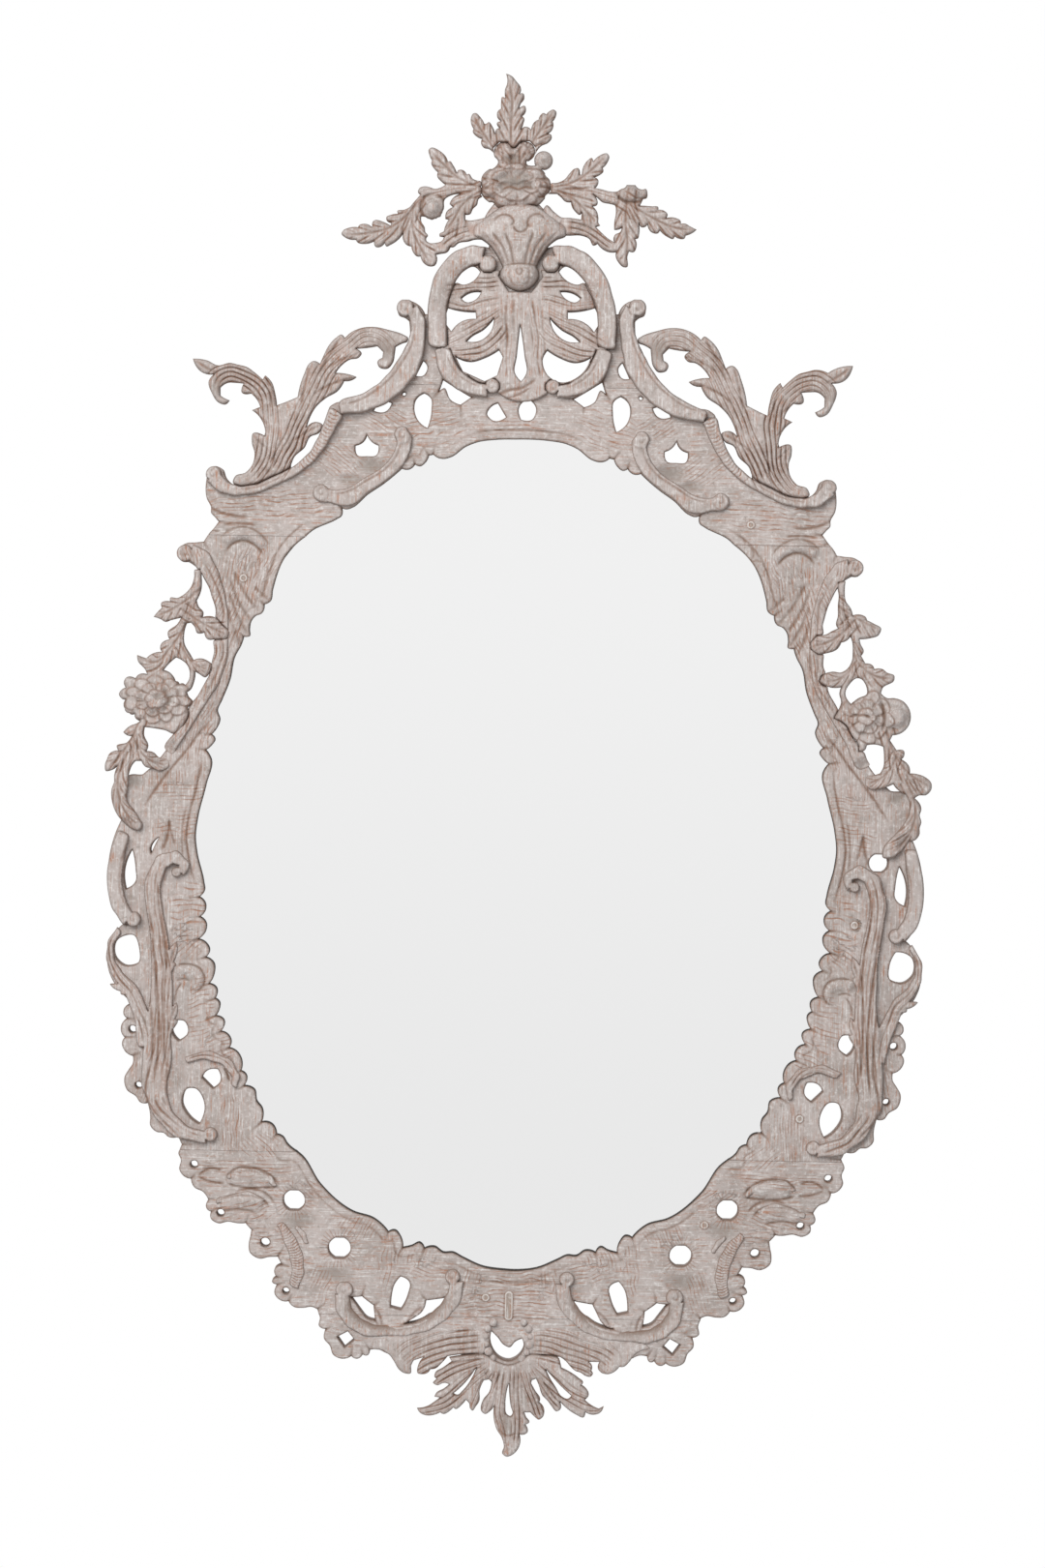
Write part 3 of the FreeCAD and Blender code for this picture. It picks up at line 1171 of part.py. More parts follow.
def apron_shell():
    """Feathered fans that sweep out from the middle below the apron scrolls."""
    return [Slab(corners_of(left, edge), dim("rail_relief")) for edge in (LEFT_FAN_EDGE, RIGHT_FAN_EDGE)]


# Spray that hangs below the apron, from the left leaf round to the right one, and the slots in it
PENDANT_EDGE = [
    (-84, -608), (-81, -613), (-92, -621), (-101, -627), (-102, -632), (-99, -634), (-104, -639), (-99, -642),
    (-90, -639), (-84, -641), (-90, -646), (-100, -652), (-102, -656), (-95, -657), (-103, -663), (-109, -667),
    (-123, -670), (-120, -675), (-110, -679), (-102, -678), (-95, -675), (-92, -677), (-83, -673), (-79, -669),
    (-77, -671), (-69, -666), (-64, -660), (-60, -664), (-59, -670), (-56, -673), (-52, -668), (-48, -662),
    (-47, -647), (-42, -636), (-36, -635), (-33, -638), (-36, -651), (-43, -660), (-45, -674), (-41, -677),
    (-34, -673), (-30, -668), (-30, -684), (-27, -695), (-20, -707), (-18, -718), (-20, -725), (-15, -729),
    (-8, -727), (-1, -720), (2, -712), (1, -702), (7, -702), (11, -699), (10, -693), (8, -690), (13, -687),
    (9, -681), (7, -675), (14, -675), (20, -681), (24, -684), (29, -681), (31, -672), (25, -663), (26, -660),
    (20, -649), (15, -640), (16, -636), (21, -634), (24, -641), (29, -655), (35, -661), (40, -668), (46, -674),
    (50, -672), (50, -662), (58, -670), (68, -677), (79, -681), (81, -675), (89, -678), (98, -676), (103, -668),
    (97, -671), (87, -666), (80, -660), (85, -653), (83, -648), (76, -642), (78, -639), (72, -633), (60, -625),
    (52, -621), (51, -617), (49, -610), (30, -606), (12, -605), (3, -612), (-12, -617), (-26, -613), (-40, -605),
    (-60, -605),
]
PENDANT_SLOTS = [
    [(-51, -620), (-59, -632), (-73, -646), (-79, -652), (-74, -654), (-68, -649), (-57, -634)],
    [(-12, -640), (-15, -653), (-16, -666), (-14, -678), (-10, -680), (-8, -678), (-10, -666), (-11, -653)],
    [(33, -623), (40, -631), (51, -643), (64, -655), (59, -659), (52, -656), (45, -645), (37, -632)],
]


def pendant_spray():
    """Spray of leaves that hangs below the apron, split down its middle leaf."""
    slots = [loop(left, points) for points in PENDANT_SLOTS]
    return [Slab(corners_of(left, PENDANT_EDGE), dim("leaf_height"), slots)]


def build_carvings():
    """Every applied carving, each cut clear of the neighbours that it meets."""
    vase = Vase()
    roomy_vase = Vase(dim("vase_gap"))
    rose = crest_rose()
    carving("crest_vase", [vase], rose)
    carving("crest_rose", rose)
    carving("crest_top_leaves", crest_top_leaves(), rose)
    carving("crest_spray_left", crest_spray_left(), [vase] + rose)
    carving("crest_spray_right", crest_spray_right(), [vase] + rose)
    trails = {"left": flower_trail_left(), "right": flower_trail_right()}
    shell_neighbours = []
    fan_neighbours = []
    for name, side in (("left", left), ("right", right)):
        crest = crest_scroll(side)
        shoulder = shoulder_scroll(side)
        flank = side_scroll(side)
        apron = apron_scroll(side)
        shell_neighbours += crest
        fan_neighbours += apron
        carving(f"crest_scroll_{name}", crest, [roomy_vase])
        carving(f"shoulder_scroll_{name}", shoulder, crest)
        carving(f"shoulder_spray_{name}", shoulder_spray(side), shoulder)
        carving(f"ear_scroll_{name}", ear_scroll(side))
        carving(f"stile_rib_{name}", stile_rib(side), trails[name])
        carving(f"flower_trail_{name}", trails[name], flank)
        carving(f"side_scroll_{name}", flank)
        carving(f"stile_acanthus_{name}", stile_acanthus(side), flank)
        carving(f"rocaille_plumes_{name}", rocaille_plumes(side))
        carving(f"apron_scroll_{name}", apron)
    carving("crest_shell", crest_shell(), shell_neighbours + [roomy_vase])
    carving("apron_shell", apron_shell(), fan_neighbours)
    carving("pendant_spray", pendant_spray())


def build_hangers():
    """Both hangers and all their screws."""
    spots = []
    for name, sign in (("left", -1), ("right", 1)):
        build_hanger(name, sign)
        spots += hanger_screw_spots(sign)
    group("hanger_screws", [screw(x, z, STRAP_FACE) for x, z in spots])


def write_parts():
    """Check every object and write each sub-part to its own file."""
    doc.recompute()
    for item in doc.Objects:
        if "Invalid" in item.State or "Error" in item.State:
            raise RuntimeError(f"{item.Name} did not build: {item.State}")
    os.makedirs("parts", exist_ok=True)
    for item in nodes:
        if item.Shape.isNull() or not item.Shape.isValid() or not item.Shape.Solids:
            raise RuntimeError(f"{item.Label} has no sound solid")
    for item in nodes:
        item.Shape.exportStep(f"parts/{item.Label}.step")
        box = item.Shape.BoundBox
        print(f"{item.Label}: {len(item.Shape.Solids)} solids, {item.Shape.Volume:.0f} mm3, "
              f"x {box.XMin:.0f}..{box.XMax:.0f}, y {box.YMin:.1f}..{box.YMax:.1f}, "
              f"z {box.ZMin:.0f}..{box.ZMax:.0f}")


build_boards()
build_glazing()
build_carvings()
build_hangers()
write_parts()
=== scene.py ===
"""Looks of the carved oval mirror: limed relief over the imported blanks, the plate, the fittings and a studio.

Every carved piece takes its outline and its roughed-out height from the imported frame. The outline is
softened, the face is meshed anew, and the carver's cuts are laid over it. Places of the cuts are read off a
drawing of the mirror in millimetres and turned onto the upright part.
"""
import logging
import math
from collections.abc import Iterator
from dataclasses import dataclass, field
from enum import Enum
from functools import lru_cache

import bpy
import numpy as np
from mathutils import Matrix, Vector
from mathutils.bvhtree import BVHTree
from mathutils.geometry import delaunay_2d_cdt
from mathutils.kdtree import KDTree


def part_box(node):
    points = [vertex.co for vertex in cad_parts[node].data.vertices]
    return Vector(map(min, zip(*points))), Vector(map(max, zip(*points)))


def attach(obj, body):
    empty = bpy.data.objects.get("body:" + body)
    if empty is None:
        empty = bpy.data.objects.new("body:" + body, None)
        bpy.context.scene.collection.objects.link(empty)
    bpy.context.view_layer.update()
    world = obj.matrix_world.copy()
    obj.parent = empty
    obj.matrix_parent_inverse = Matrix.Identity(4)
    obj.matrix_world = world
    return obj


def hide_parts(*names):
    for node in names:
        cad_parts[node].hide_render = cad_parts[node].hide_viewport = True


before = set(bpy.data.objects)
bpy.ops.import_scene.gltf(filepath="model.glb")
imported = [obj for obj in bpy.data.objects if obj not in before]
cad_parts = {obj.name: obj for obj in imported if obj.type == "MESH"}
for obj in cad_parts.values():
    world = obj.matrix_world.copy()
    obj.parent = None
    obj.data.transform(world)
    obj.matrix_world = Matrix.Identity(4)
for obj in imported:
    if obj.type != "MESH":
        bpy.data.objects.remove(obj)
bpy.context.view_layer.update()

MM = 0.001
LOG = logging.getLogger("oval_mirror")


class Hand(Enum):
    """Whether a cut is made on both halves of the part, or only where it is drawn."""

    BOTH = "both"
    ALONE = "alone"


class Layer(Enum):
    """Which layer of the mirror a piece belongs to."""

    BOARD = "board"
    CARVING = "carving"


class Profile(Enum):
    """How the section of a carving is shaped."""

    BAND = "band"
    SHEET = "sheet"
    ROUND = "round"


class Grain(Enum):
    """Which way the wood runs in a piece."""

    ACROSS = "across"
    UPRIGHT = "upright"


@dataclass(frozen=True)
class Drawing:
    """Turns places on the drawing into places on the upright part.

    The drawing leans a little, its middle line drifts, and its right half hangs lower than the left.
    """

    turn: float = math.radians(1.1)
    axis: float = -3.5
    axis_lean: float = 0.0146
    crest_foot: float = 620.0
    crest_lean: float = 0.05
    drop: float = 0.045
    fade_from: float = 540.0
    fade_to: float = 660.0

    def upright(self, places: np.ndarray) -> np.ndarray:
        """Turn drawn places upright.

        Args:
            places: Rows of x and z on the drawing, in millimetres.

        Returns:
            Rows of x and z on the part, in millimetres.
        """
        x = places[:, 0] - self.axis
        z = places[:, 1]
        cos, sin = math.cos(self.turn), math.sin(self.turn)
        return np.column_stack([x * cos - z * sin, x * sin + z * cos])

    def right(self, places: np.ndarray) -> np.ndarray:
        """Carry places of the left half over to the right half.

        Args:
            places: Rows of x and z in the left half of the drawing.

        Returns:
            Rows of x and z on the part.
        """
        x, z = places[:, 0], places[:, 1]
        axis = self.axis + self.axis_lean * np.minimum(z, self.crest_foot)
        axis = axis - self.crest_lean * np.maximum(0.0, z - self.crest_foot)
        fade = np.clip((self.fade_to - z) / (self.fade_to - self.fade_from), 0.0, 1.0)
        return self.upright(np.column_stack([2 * axis - x, z - self.drop * np.abs(x) * fade]))

    def placed(self, hand: Hand, points: list) -> list:
        """Places of a cut on the part.

        Args:
            hand: Whether the cut is made on both halves.
            points: Rows of x and z on the drawing.

        Returns:
            One array of places for each time that the cut is made.
        """
        places = np.array(points, float).reshape(-1, 2)
        if hand is Hand.ALONE:
            return [self.upright(places)]
        return [self.upright(places), self.right(places)]


DRAWING = Drawing()


def hermite(points: np.ndarray, closed: bool, step: float) -> np.ndarray:
    """Smooth line through points.

    Args:
        points: Rows of coordinates that the line passes through.
        closed: Whether the line returns to its first point.
        step: Length between the samples.

    Returns:
        Samples along the line; the last point is left out if it is closed.
    """
    count = len(points)
    if count == 2 and not closed:
        parts = max(1, int(round(np.linalg.norm(points[1] - points[0]) / step)))
        share = np.linspace(0, 1, parts + 1)[:, None]
        return points[0] + (points[1] - points[0]) * share
    ahead = np.roll(points, -1, axis=0) - points
    span = np.maximum(np.linalg.norm(ahead, axis=1), 1e-6)
    pace = ahead / span[:, None]
    before = np.roll(span, 1)
    tangent = (np.roll(pace, 1, axis=0) * span[:, None] + pace * before[:, None]) / (span + before)[:, None]
    if not closed:
        tangent[0] = 2 * pace[0] - tangent[1]
        tangent[-1] = 2 * pace[-2] - tangent[-2]
    samples = []
    for index in range(count if closed else count - 1):
        after = (index + 1) % count
        parts = max(1, int(round(span[index] / step)))
        t = (np.arange(parts) / parts)[:, None]
        one, two = points[index], points[after]
        lead, trail = tangent[index] * span[index], tangent[after] * span[index]
        samples.append(
            (2 * t ** 3 - 3 * t ** 2 + 1) * one + (t ** 3 - 2 * t ** 2 + t) * lead
            + (3 * t ** 2 - 2 * t ** 3) * two + (t ** 3 - t ** 2) * trail
        )
    if not closed:
        samples.append(points[-1:])
    return np.vstack(samples)


NOISE_CELLS = 64


def grain_noise(places: np.ndarray, size: float, seed: int) -> np.ndarray:
    """Smooth noise between -1 and 1 over the face.

    Args:
        places: Rows of x and z.
        size: Width of one patch.
        seed: Number that picks the pattern.

    Returns:
        One value for each place.
    """
    table = np.random.default_rng(seed).uniform(-1, 1, (NOISE_CELLS, NOISE_CELLS))
    cell = places / size
    low = np.floor(cell).astype(int)
    part = cell - low
    part = part * part * (3 - 2 * part)
    i, k = low[:, 0] % NOISE_CELLS, low[:, 1] % NOISE_CELLS
    j, m = (i + 1) % NOISE_CELLS, (k + 1) % NOISE_CELLS
    lower = table[i, k] * (1 - part[:, 0]) + table[j, k] * part[:, 0]
    upper = table[i, m] * (1 - part[:, 0]) + table[j, m] * part[:, 0]
    return lower * (1 - part[:, 1]) + upper * part[:, 1]


def bell(distance: np.ndarray, width: float) -> np.ndarray:
    """Rounded bump that is 1 at no distance and has died away beyond the width."""
    return np.exp(-(distance / (0.5 * width)) ** 2)


def unit(values: np.ndarray) -> np.ndarray:
    """Values held between 0 and 1."""
    return np.clip(values, 0, 1)


def wave(phase: np.ndarray) -> np.ndarray:
    """Wave between 0 and 1 that is at its height at each whole number."""
    return 0.5 + 0.5 * np.cos(2 * math.pi * phase)


def quarter_round(distance: np.ndarray, radius: float) -> np.ndarray:
    """Share of its full height that a rounded edge has at a distance from the outline."""
    return np.sqrt(1 - (1 - unit(distance / radius)) ** 2)


def gaps_to(marks: np.ndarray, places: np.ndarray) -> np.ndarray:
    """Distance of each place from the nearest of the marks."""
    tree = KDTree(len(marks))
    for index, (x, z) in enumerate(marks):
        tree.insert((x, z, 0), index)
    tree.balance()
    return np.array([tree.find((x, z, 0))[2] for x, z in places])


class Path:
    """Line on the face along which a tool is drawn."""

    STEP = 1.0

    def __init__(self, places: np.ndarray) -> None:
        """Sample the line through the places."""
        self.dense = hermite(places, False, self.STEP)
        ahead = np.gradient(self.dense, axis=0)
        self.tangent = ahead / np.maximum(np.linalg.norm(ahead, axis=1), 1e-9)[:, None]

    def near(self, places: np.ndarray, reach: float) -> np.ndarray:
        """Numbers of the places within reach of the line's box."""
        low, high = self.dense.min(0) - reach, self.dense.max(0) + reach
        return np.nonzero(((places > low) & (places < high)).all(1))[0]

    def locate(self, places: np.ndarray) -> tuple:
        """Where places lie beside the line.

        Args:
            places: Rows of x and z.

        Returns:
            Share of the way along, distance to the left of the line, and plain distance.
        """
        gap = places[:, None, :] - self.dense[None, :, :]
        nearest = (gap ** 2).sum(2).argmin(1)
        offset = places - self.dense[nearest]
        tangent = self.tangent[nearest]
        across = tangent[:, 0] * offset[:, 1] - tangent[:, 1] * offset[:, 0]
        along = nearest / max(1, len(self.dense) - 1)
        return along, across, np.linalg.norm(offset, axis=1)


# Marks on a face; of the darkening marks, one carries dirt with painted shade in recesses, the other wear with
# painted shade along the edges
MARKS = ("phase", "lines", "rust", "dirt_and_shade", "edge_wear_and_shade")


@dataclass
class Face:
    """Face of one piece as points, with what the carver's tools and the years do to each, and the shade painted
    on each.
    """

    places: np.ndarray
    rise: np.ndarray
    edge: np.ndarray
    phase: np.ndarray = field(init=False)
    lines: np.ndarray = field(init=False)
    rust: np.ndarray = field(init=False)
    # Dirt together with painted shade in recesses, and wear together with painted shade along the edges
    dirt_and_shade: np.ndarray = field(init=False)
    edge_wear_and_shade: np.ndarray = field(init=False)

    def __post_init__(self) -> None:
        """Start with a clean face."""
        for name in MARKS:
            setattr(self, name, np.zeros(len(self.places)))

    def score(self, chosen: np.ndarray, phase: np.ndarray, strength: np.ndarray) -> None:
        """Lay fine lines where they are stronger than those already there."""
        better = strength > self.lines[chosen]
        self.phase[chosen[better]] = phase[better]
        self.lines[chosen[better]] = strength[better]

    def stain(self, name: str, amount: np.ndarray, chosen: object = slice(None)) -> None:
        """Bring one of the marks up to an amount, at the chosen points or everywhere."""
        values = getattr(self, name)
        values[chosen] = np.maximum(values[chosen], amount)


def strokes(cut: object, reach: float, face: Face) -> Iterator[tuple]:
    """Each time that a cut along a line is made in a face.

    Args:
        cut: The cut, with its line and its hand.
        reach: How far outside the line's box points can be cut.
        face: The face.

    Yields:
        Length of the line, numbers of the points near it, and where those lie beside it.
    """
    for places in DRAWING.placed(cut.hand, cut.points):
        path = Path(places)
        chosen = path.near(face.places, reach)
        if len(chosen):
            yield len(path.dense) * Path.STEP, chosen, path.locate(face.places[chosen])


@dataclass(frozen=True)
class Groove:
    """Single cut drawn along a line, or a ridge if its depth is negative."""

    points: tuple
    width: float = 2.6
    depth: float = 1.4
    rust: float = 0.6
    hand: Hand = Hand.BOTH
    # Darkening laid in the cut: dirt, and painted shade
    dirt_and_shade: float = 0.0

    # How fast the cut deepens from its ends, and its share of the depth right at them
    ENDS = 8
    END_SHARE = 0.25

    def carve(self, face: Face) -> None:
        """Make the cut in a face."""
        for _, chosen, (along, _, away) in strokes(self, self.width * 2, face):
            taper = unit(np.minimum(along, 1 - along) * self.ENDS + self.END_SHARE)
            cut = bell(away, self.width) * taper
            face.rise[chosen] -= self.depth * cut
            # Painted shade and dirt along the cut
            face.stain("rust", self.rust * cut, chosen)
            face.stain("dirt_and_shade", self.dirt_and_shade * cut, chosen)


@dataclass(frozen=True)
class Flutes:
    """Long parallel cuts that follow a member from end to end."""

    points: tuple
    width: float
    count: int
    depth: float = 0.9
    strength: float = 0.8
    hand: Hand = Hand.BOTH

    # How fast the cuts fade at the sides and at the ends, how far they wander, and how uneven they are
    SIDES = 8
    ENDS = 10
    REACH = 0.7
    WANDER = 0.4
    UNEVEN = 0.9
    SHALLOWEST, DEEPEST = 0.3, 1.6
    STAIN = 0.75
    SCORED = 0.6

    def carve(self, face: Face) -> None:
        """Make the cuts in a face."""
        for _, chosen, (along, across, away) in strokes(self, self.width, face):
            spots = face.places[chosen]
            share = across / self.width + 0.5
            inside = unit((0.5 - np.abs(share - 0.5)) * self.SIDES) * (away < self.width * self.REACH)
            ends = unit(np.minimum(along, 1 - along) * self.ENDS)
            phase = share * self.count + self.WANDER * grain_noise(spots, 24, 13)
            valley = wave(phase)
            uneven = np.clip(1.0 + self.UNEVEN * grain_noise(spots, 30, 17), self.SHALLOWEST, self.DEEPEST)
            uneven = uneven * inside * ends
            face.rise[chosen] -= self.depth * valley ** 2 * uneven
            face.stain("rust", unit(self.STAIN * self.strength * valley ** 4 * uneven), chosen)
            face.score(chosen, phase * 2, self.SCORED * self.strength * inside * ends)


@dataclass(frozen=True)
class Ticks:
    """Short cuts laid across a member, one after another along it."""

    points: tuple
    width: float
    spacing: float
    depth: float = 0.7
    strength: float = 0.8
    hand: Hand = Hand.BOTH

    # How fast the cuts fade at the sides, how far they reach, and how much they slant
    SIDES = 8
    REACH = 0.6
    SLANT = 0.25

    def carve(self, face: Face) -> None:
        """Make the cuts in a face."""
        for length, chosen, (along, across, away) in strokes(self, self.width, face):
            inside = unit((0.5 - np.abs(across) / self.width) * self.SIDES) * (away < self.width * self.REACH)
            phase = (along * length + self.SLANT * np.abs(across)) / self.spacing
            face.rise[chosen] -= self.depth * wave(phase) * inside
            face.score(chosen, phase, self.strength * inside)


@dataclass(frozen=True)
class Rays:
    """Cuts that spread from a centre, as between petals or round an opening."""

    centre: tuple
    size: tuple
    count: int
    depth: float = 1.5
    inner: float = 0.35
    rust: float = 0.4
    strength: float = 0.0
    hand: Hand = Hand.BOTH

    # Where the cuts end, as a share of the size and of the inner share, and how fast they fade there
    OUTER_END = 1.1
    INNER_END = 0.8
    ENDS = 6

    def carve(self, face: Face) -> None:
        """Make the cuts in a face."""
        inner = self.inner * self.INNER_END
        for places in DRAWING.placed(self.hand, [self.centre]):
            offset = (face.places - places[0]) / np.array(self.size)
            far = np.hypot(offset[:, 0], offset[:, 1])
            chosen = np.nonzero((far < self.OUTER_END) & (far > inner))[0]
            phase = np.arctan2(offset[chosen, 1], offset[chosen, 0]) / (2 * math.pi) * self.count
            reach = unit((self.OUTER_END - far[chosen]) * self.ENDS) * unit((far[chosen] - inner) * self.ENDS)
            cut = wave(phase) ** 5 * reach
            face.rise[chosen] -= self.depth * cut
            face.stain("rust", self.rust * cut, chosen)
            face.score(chosen, phase, self.strength * reach)


@dataclass(frozen=True)
class Veins:
    """Midrib of a leaf with veins that sweep from it to the lobes."""

    points: tuple
    width: float
    lobes: int = 3
    depth: float = 1.5
    hand: Hand = Hand.BOTH

    # How far the veins lean, how wide the midrib is, and how the cuts fade at the sides and at the tip
    SWEEP = 1.5
    RIB = 3.0
    SIDE, SIDES = 1.1, 5
    REACH = 0.65
    TIP = 6
    STAIN = 0.7
    SCORED = 0.5

    def carve(self, face: Face) -> None:
        """Make the cuts in a face."""
        for _, chosen, (along, across, away) in strokes(self, self.width, face):
            share = np.abs(across) / (self.width / 2)
            inside = unit((self.SIDE - share) * self.SIDES) * (away < self.width * self.REACH)
            fade = unit((1 - along) * self.TIP) * inside
            sweep = (along - self.SWEEP * share / max(2, self.lobes)) * self.lobes
            rib = bell(across, self.RIB)
            vein = wave(sweep) ** 4 * unit(share * 3)
            face.rise[chosen] -= self.depth * (rib + vein) * fade
            face.stain("rust", self.STAIN * np.maximum(rib, vein) * fade, chosen)
            face.score(chosen, sweep * 2.0, self.SCORED * unit(share * 3 - 0.3) * fade)


@dataclass(frozen=True)
class Hatch:
    """Patch of short parallel strokes of the chisel."""

    centre: tuple
    size: tuple
    angle: float
    spacing: float = 3.6
    strength: float = 0.8
    hand: Hand = Hand.BOTH

    # Where the patch ends, how fast it fades there, how far the strokes wander, and how they break off
    END = 1.25
    ENDS = 3
    WANDER = 0.5
    BROKEN, BREAK_LENGTH = 0.35, 9

    def carve(self, face: Face) -> None:
        """Make the strokes in a face."""
        for sign, places in zip((1, -1), DRAWING.placed(self.hand, [self.centre])):
            offset = face.places - places[0]
            cos, sin = math.cos(math.radians(self.angle)), math.sin(math.radians(self.angle)) * sign
            run = offset[:, 0] * cos + offset[:, 1] * sin
            step = offset[:, 1] * cos - offset[:, 0] * sin
            within = self.END - np.hypot(offset[:, 0] / self.size[0], offset[:, 1] / self.size[1])
            chosen = np.nonzero(within > 0)[0]
            wander = self.WANDER * grain_noise(face.places[chosen], 14, 5)
            strength = self.strength * unit(within[chosen] * self.ENDS)
            swing = np.sin(run[chosen] / self.BREAK_LENGTH + 2.0 * np.floor(step[chosen] / self.spacing))
            broken = 1 - self.BROKEN + self.BROKEN * swing
            face.score(chosen, step[chosen] / self.spacing + wander, strength * broken)


@dataclass(frozen=True)
class Hollow:
    """Scooped ground, or a swelling if its depth is negative."""

    centre: tuple
    size: tuple
    depth: float
    # Darkening laid in the scoop by its depth: dirt, and painted shade
    dirt_and_shade: float = 0.3
    hand: Hand = Hand.BOTH

    def carve(self, face: Face) -> None:
        """Scoop the face."""
        for places in DRAWING.placed(self.hand, [self.centre]):
            offset = face.places - places[0]
            far = np.hypot(offset[:, 0] / self.size[0], offset[:, 1] / self.size[1])
            scoop = unit(1 - far ** 2) ** 1.5
            face.rise -= self.depth * scoop
            # Painted shade and dirt, strongest where the scoop is deepest
            face.stain("dirt_and_shade", self.dirt_and_shade * scoop)


@dataclass(frozen=True)
class Spiral:
    """Eye of a volute: a cut that winds in to a raised button."""

    centre: tuple
    radius: float
    depth: float = 1.6
    hand: Hand = Hand.BOTH

    # Turns of the cut, where it ends as a share of the radius, how fast it fades there, and its stain
    TURNS = 1.1
    END, ENDS = 1.2, 4
    STAIN = 0.3

    def carve(self, face: Face) -> None:
        """Cut the eye."""
        for sign, places in zip((1, -1), DRAWING.placed(self.hand, [self.centre])):
            offset = face.places - places[0]
            far = np.linalg.norm(offset, axis=1)
            chosen = np.nonzero(far < self.radius * self.END)[0]
            angle = np.arctan2(offset[chosen, 1], sign * offset[chosen, 0]) / (2 * math.pi)
            share = far[chosen] / self.radius
            cut = wave(share * self.TURNS + angle) ** 3 * unit((self.END - share) * self.ENDS)
            face.rise[chosen] -= self.depth * cut
            face.stain("rust", self.STAIN * cut, chosen)


@dataclass(frozen=True)
class Rosette:
    """Rounds of petals laid one over another, from the outside in."""

    centre: tuple
    rounds: tuple
    step: float = 2.4
    hand: Hand = Hand.BOTH

    # How far the petals wander, how deep they are cupped and parted, and how wide their edge is stained
    WANDER = 2.4
    CUPPED = 0.9
    PARTED = 1.8
    EDGE = 2.4

    def carve(self, face: Face) -> None:
        """Raise each round of petals over the one before it."""
        for places in DRAWING.placed(self.hand, [self.centre]):
            wander = np.column_stack([grain_noise(face.places, 13, 31), grain_noise(face.places, 13, 37)])
            offset = face.places - places[0] + self.WANDER * wander
            for wide, high, petals, turn in self.rounds:
                across, up = offset[:, 0] / wide, offset[:, 1] / high
                far = np.hypot(across, up)
                lobe = np.abs(np.cos(0.5 * petals * np.arctan2(up, across) + turn))
                within = (0.8 + 0.2 * lobe ** 0.6 - far) * min(wide, high)
                lift = unit(within / 2.0 + 0.5)
                cup = unit(within / min(wide, high))
                parting = (1 - lobe) ** 5 * unit(far * 3 - 0.6) * lift
                face.rise += self.step * (lift - self.CUPPED * cup) - self.PARTED * parting
                face.stain("rust", np.maximum(0.75 * bell(within, self.EDGE), 0.7 * parting))


def turns_of(points: np.ndarray) -> np.ndarray:
    """Turn at each corner of a closed outline, in degrees, to the left positive."""
    back = points - np.roll(points, 1, axis=0)
    ahead = np.roll(points, -1, axis=0) - points
    cross = back[:, 0] * ahead[:, 1] - back[:, 1] * ahead[:, 0]
    dot = (back * ahead).sum(1)
    return np.degrees(np.arctan2(cross, dot))


def area_of(points: np.ndarray) -> float:
    """Area within a closed outline, negative if it runs clockwise."""
    x, z = points[:, 0], points[:, 1]
    return 0.5 * float((x * np.roll(z, -1) - np.roll(x, -1) * z).sum())


def merged(mesh: bpy.types.Mesh) -> tuple:
    """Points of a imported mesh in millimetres, with those at one spot taken as one.

    Args:
        mesh: The mesh.

    Returns:
        Number of the spot of each vertex, and the spots as rows of x, y and z.
    """
    names = {}
    places = np.array([vertex.co for vertex in mesh.vertices]) / MM
    label = [names.setdefault(tuple(np.round(place, 2)), len(names)) for place in places]
    return label, np.array(list(names))


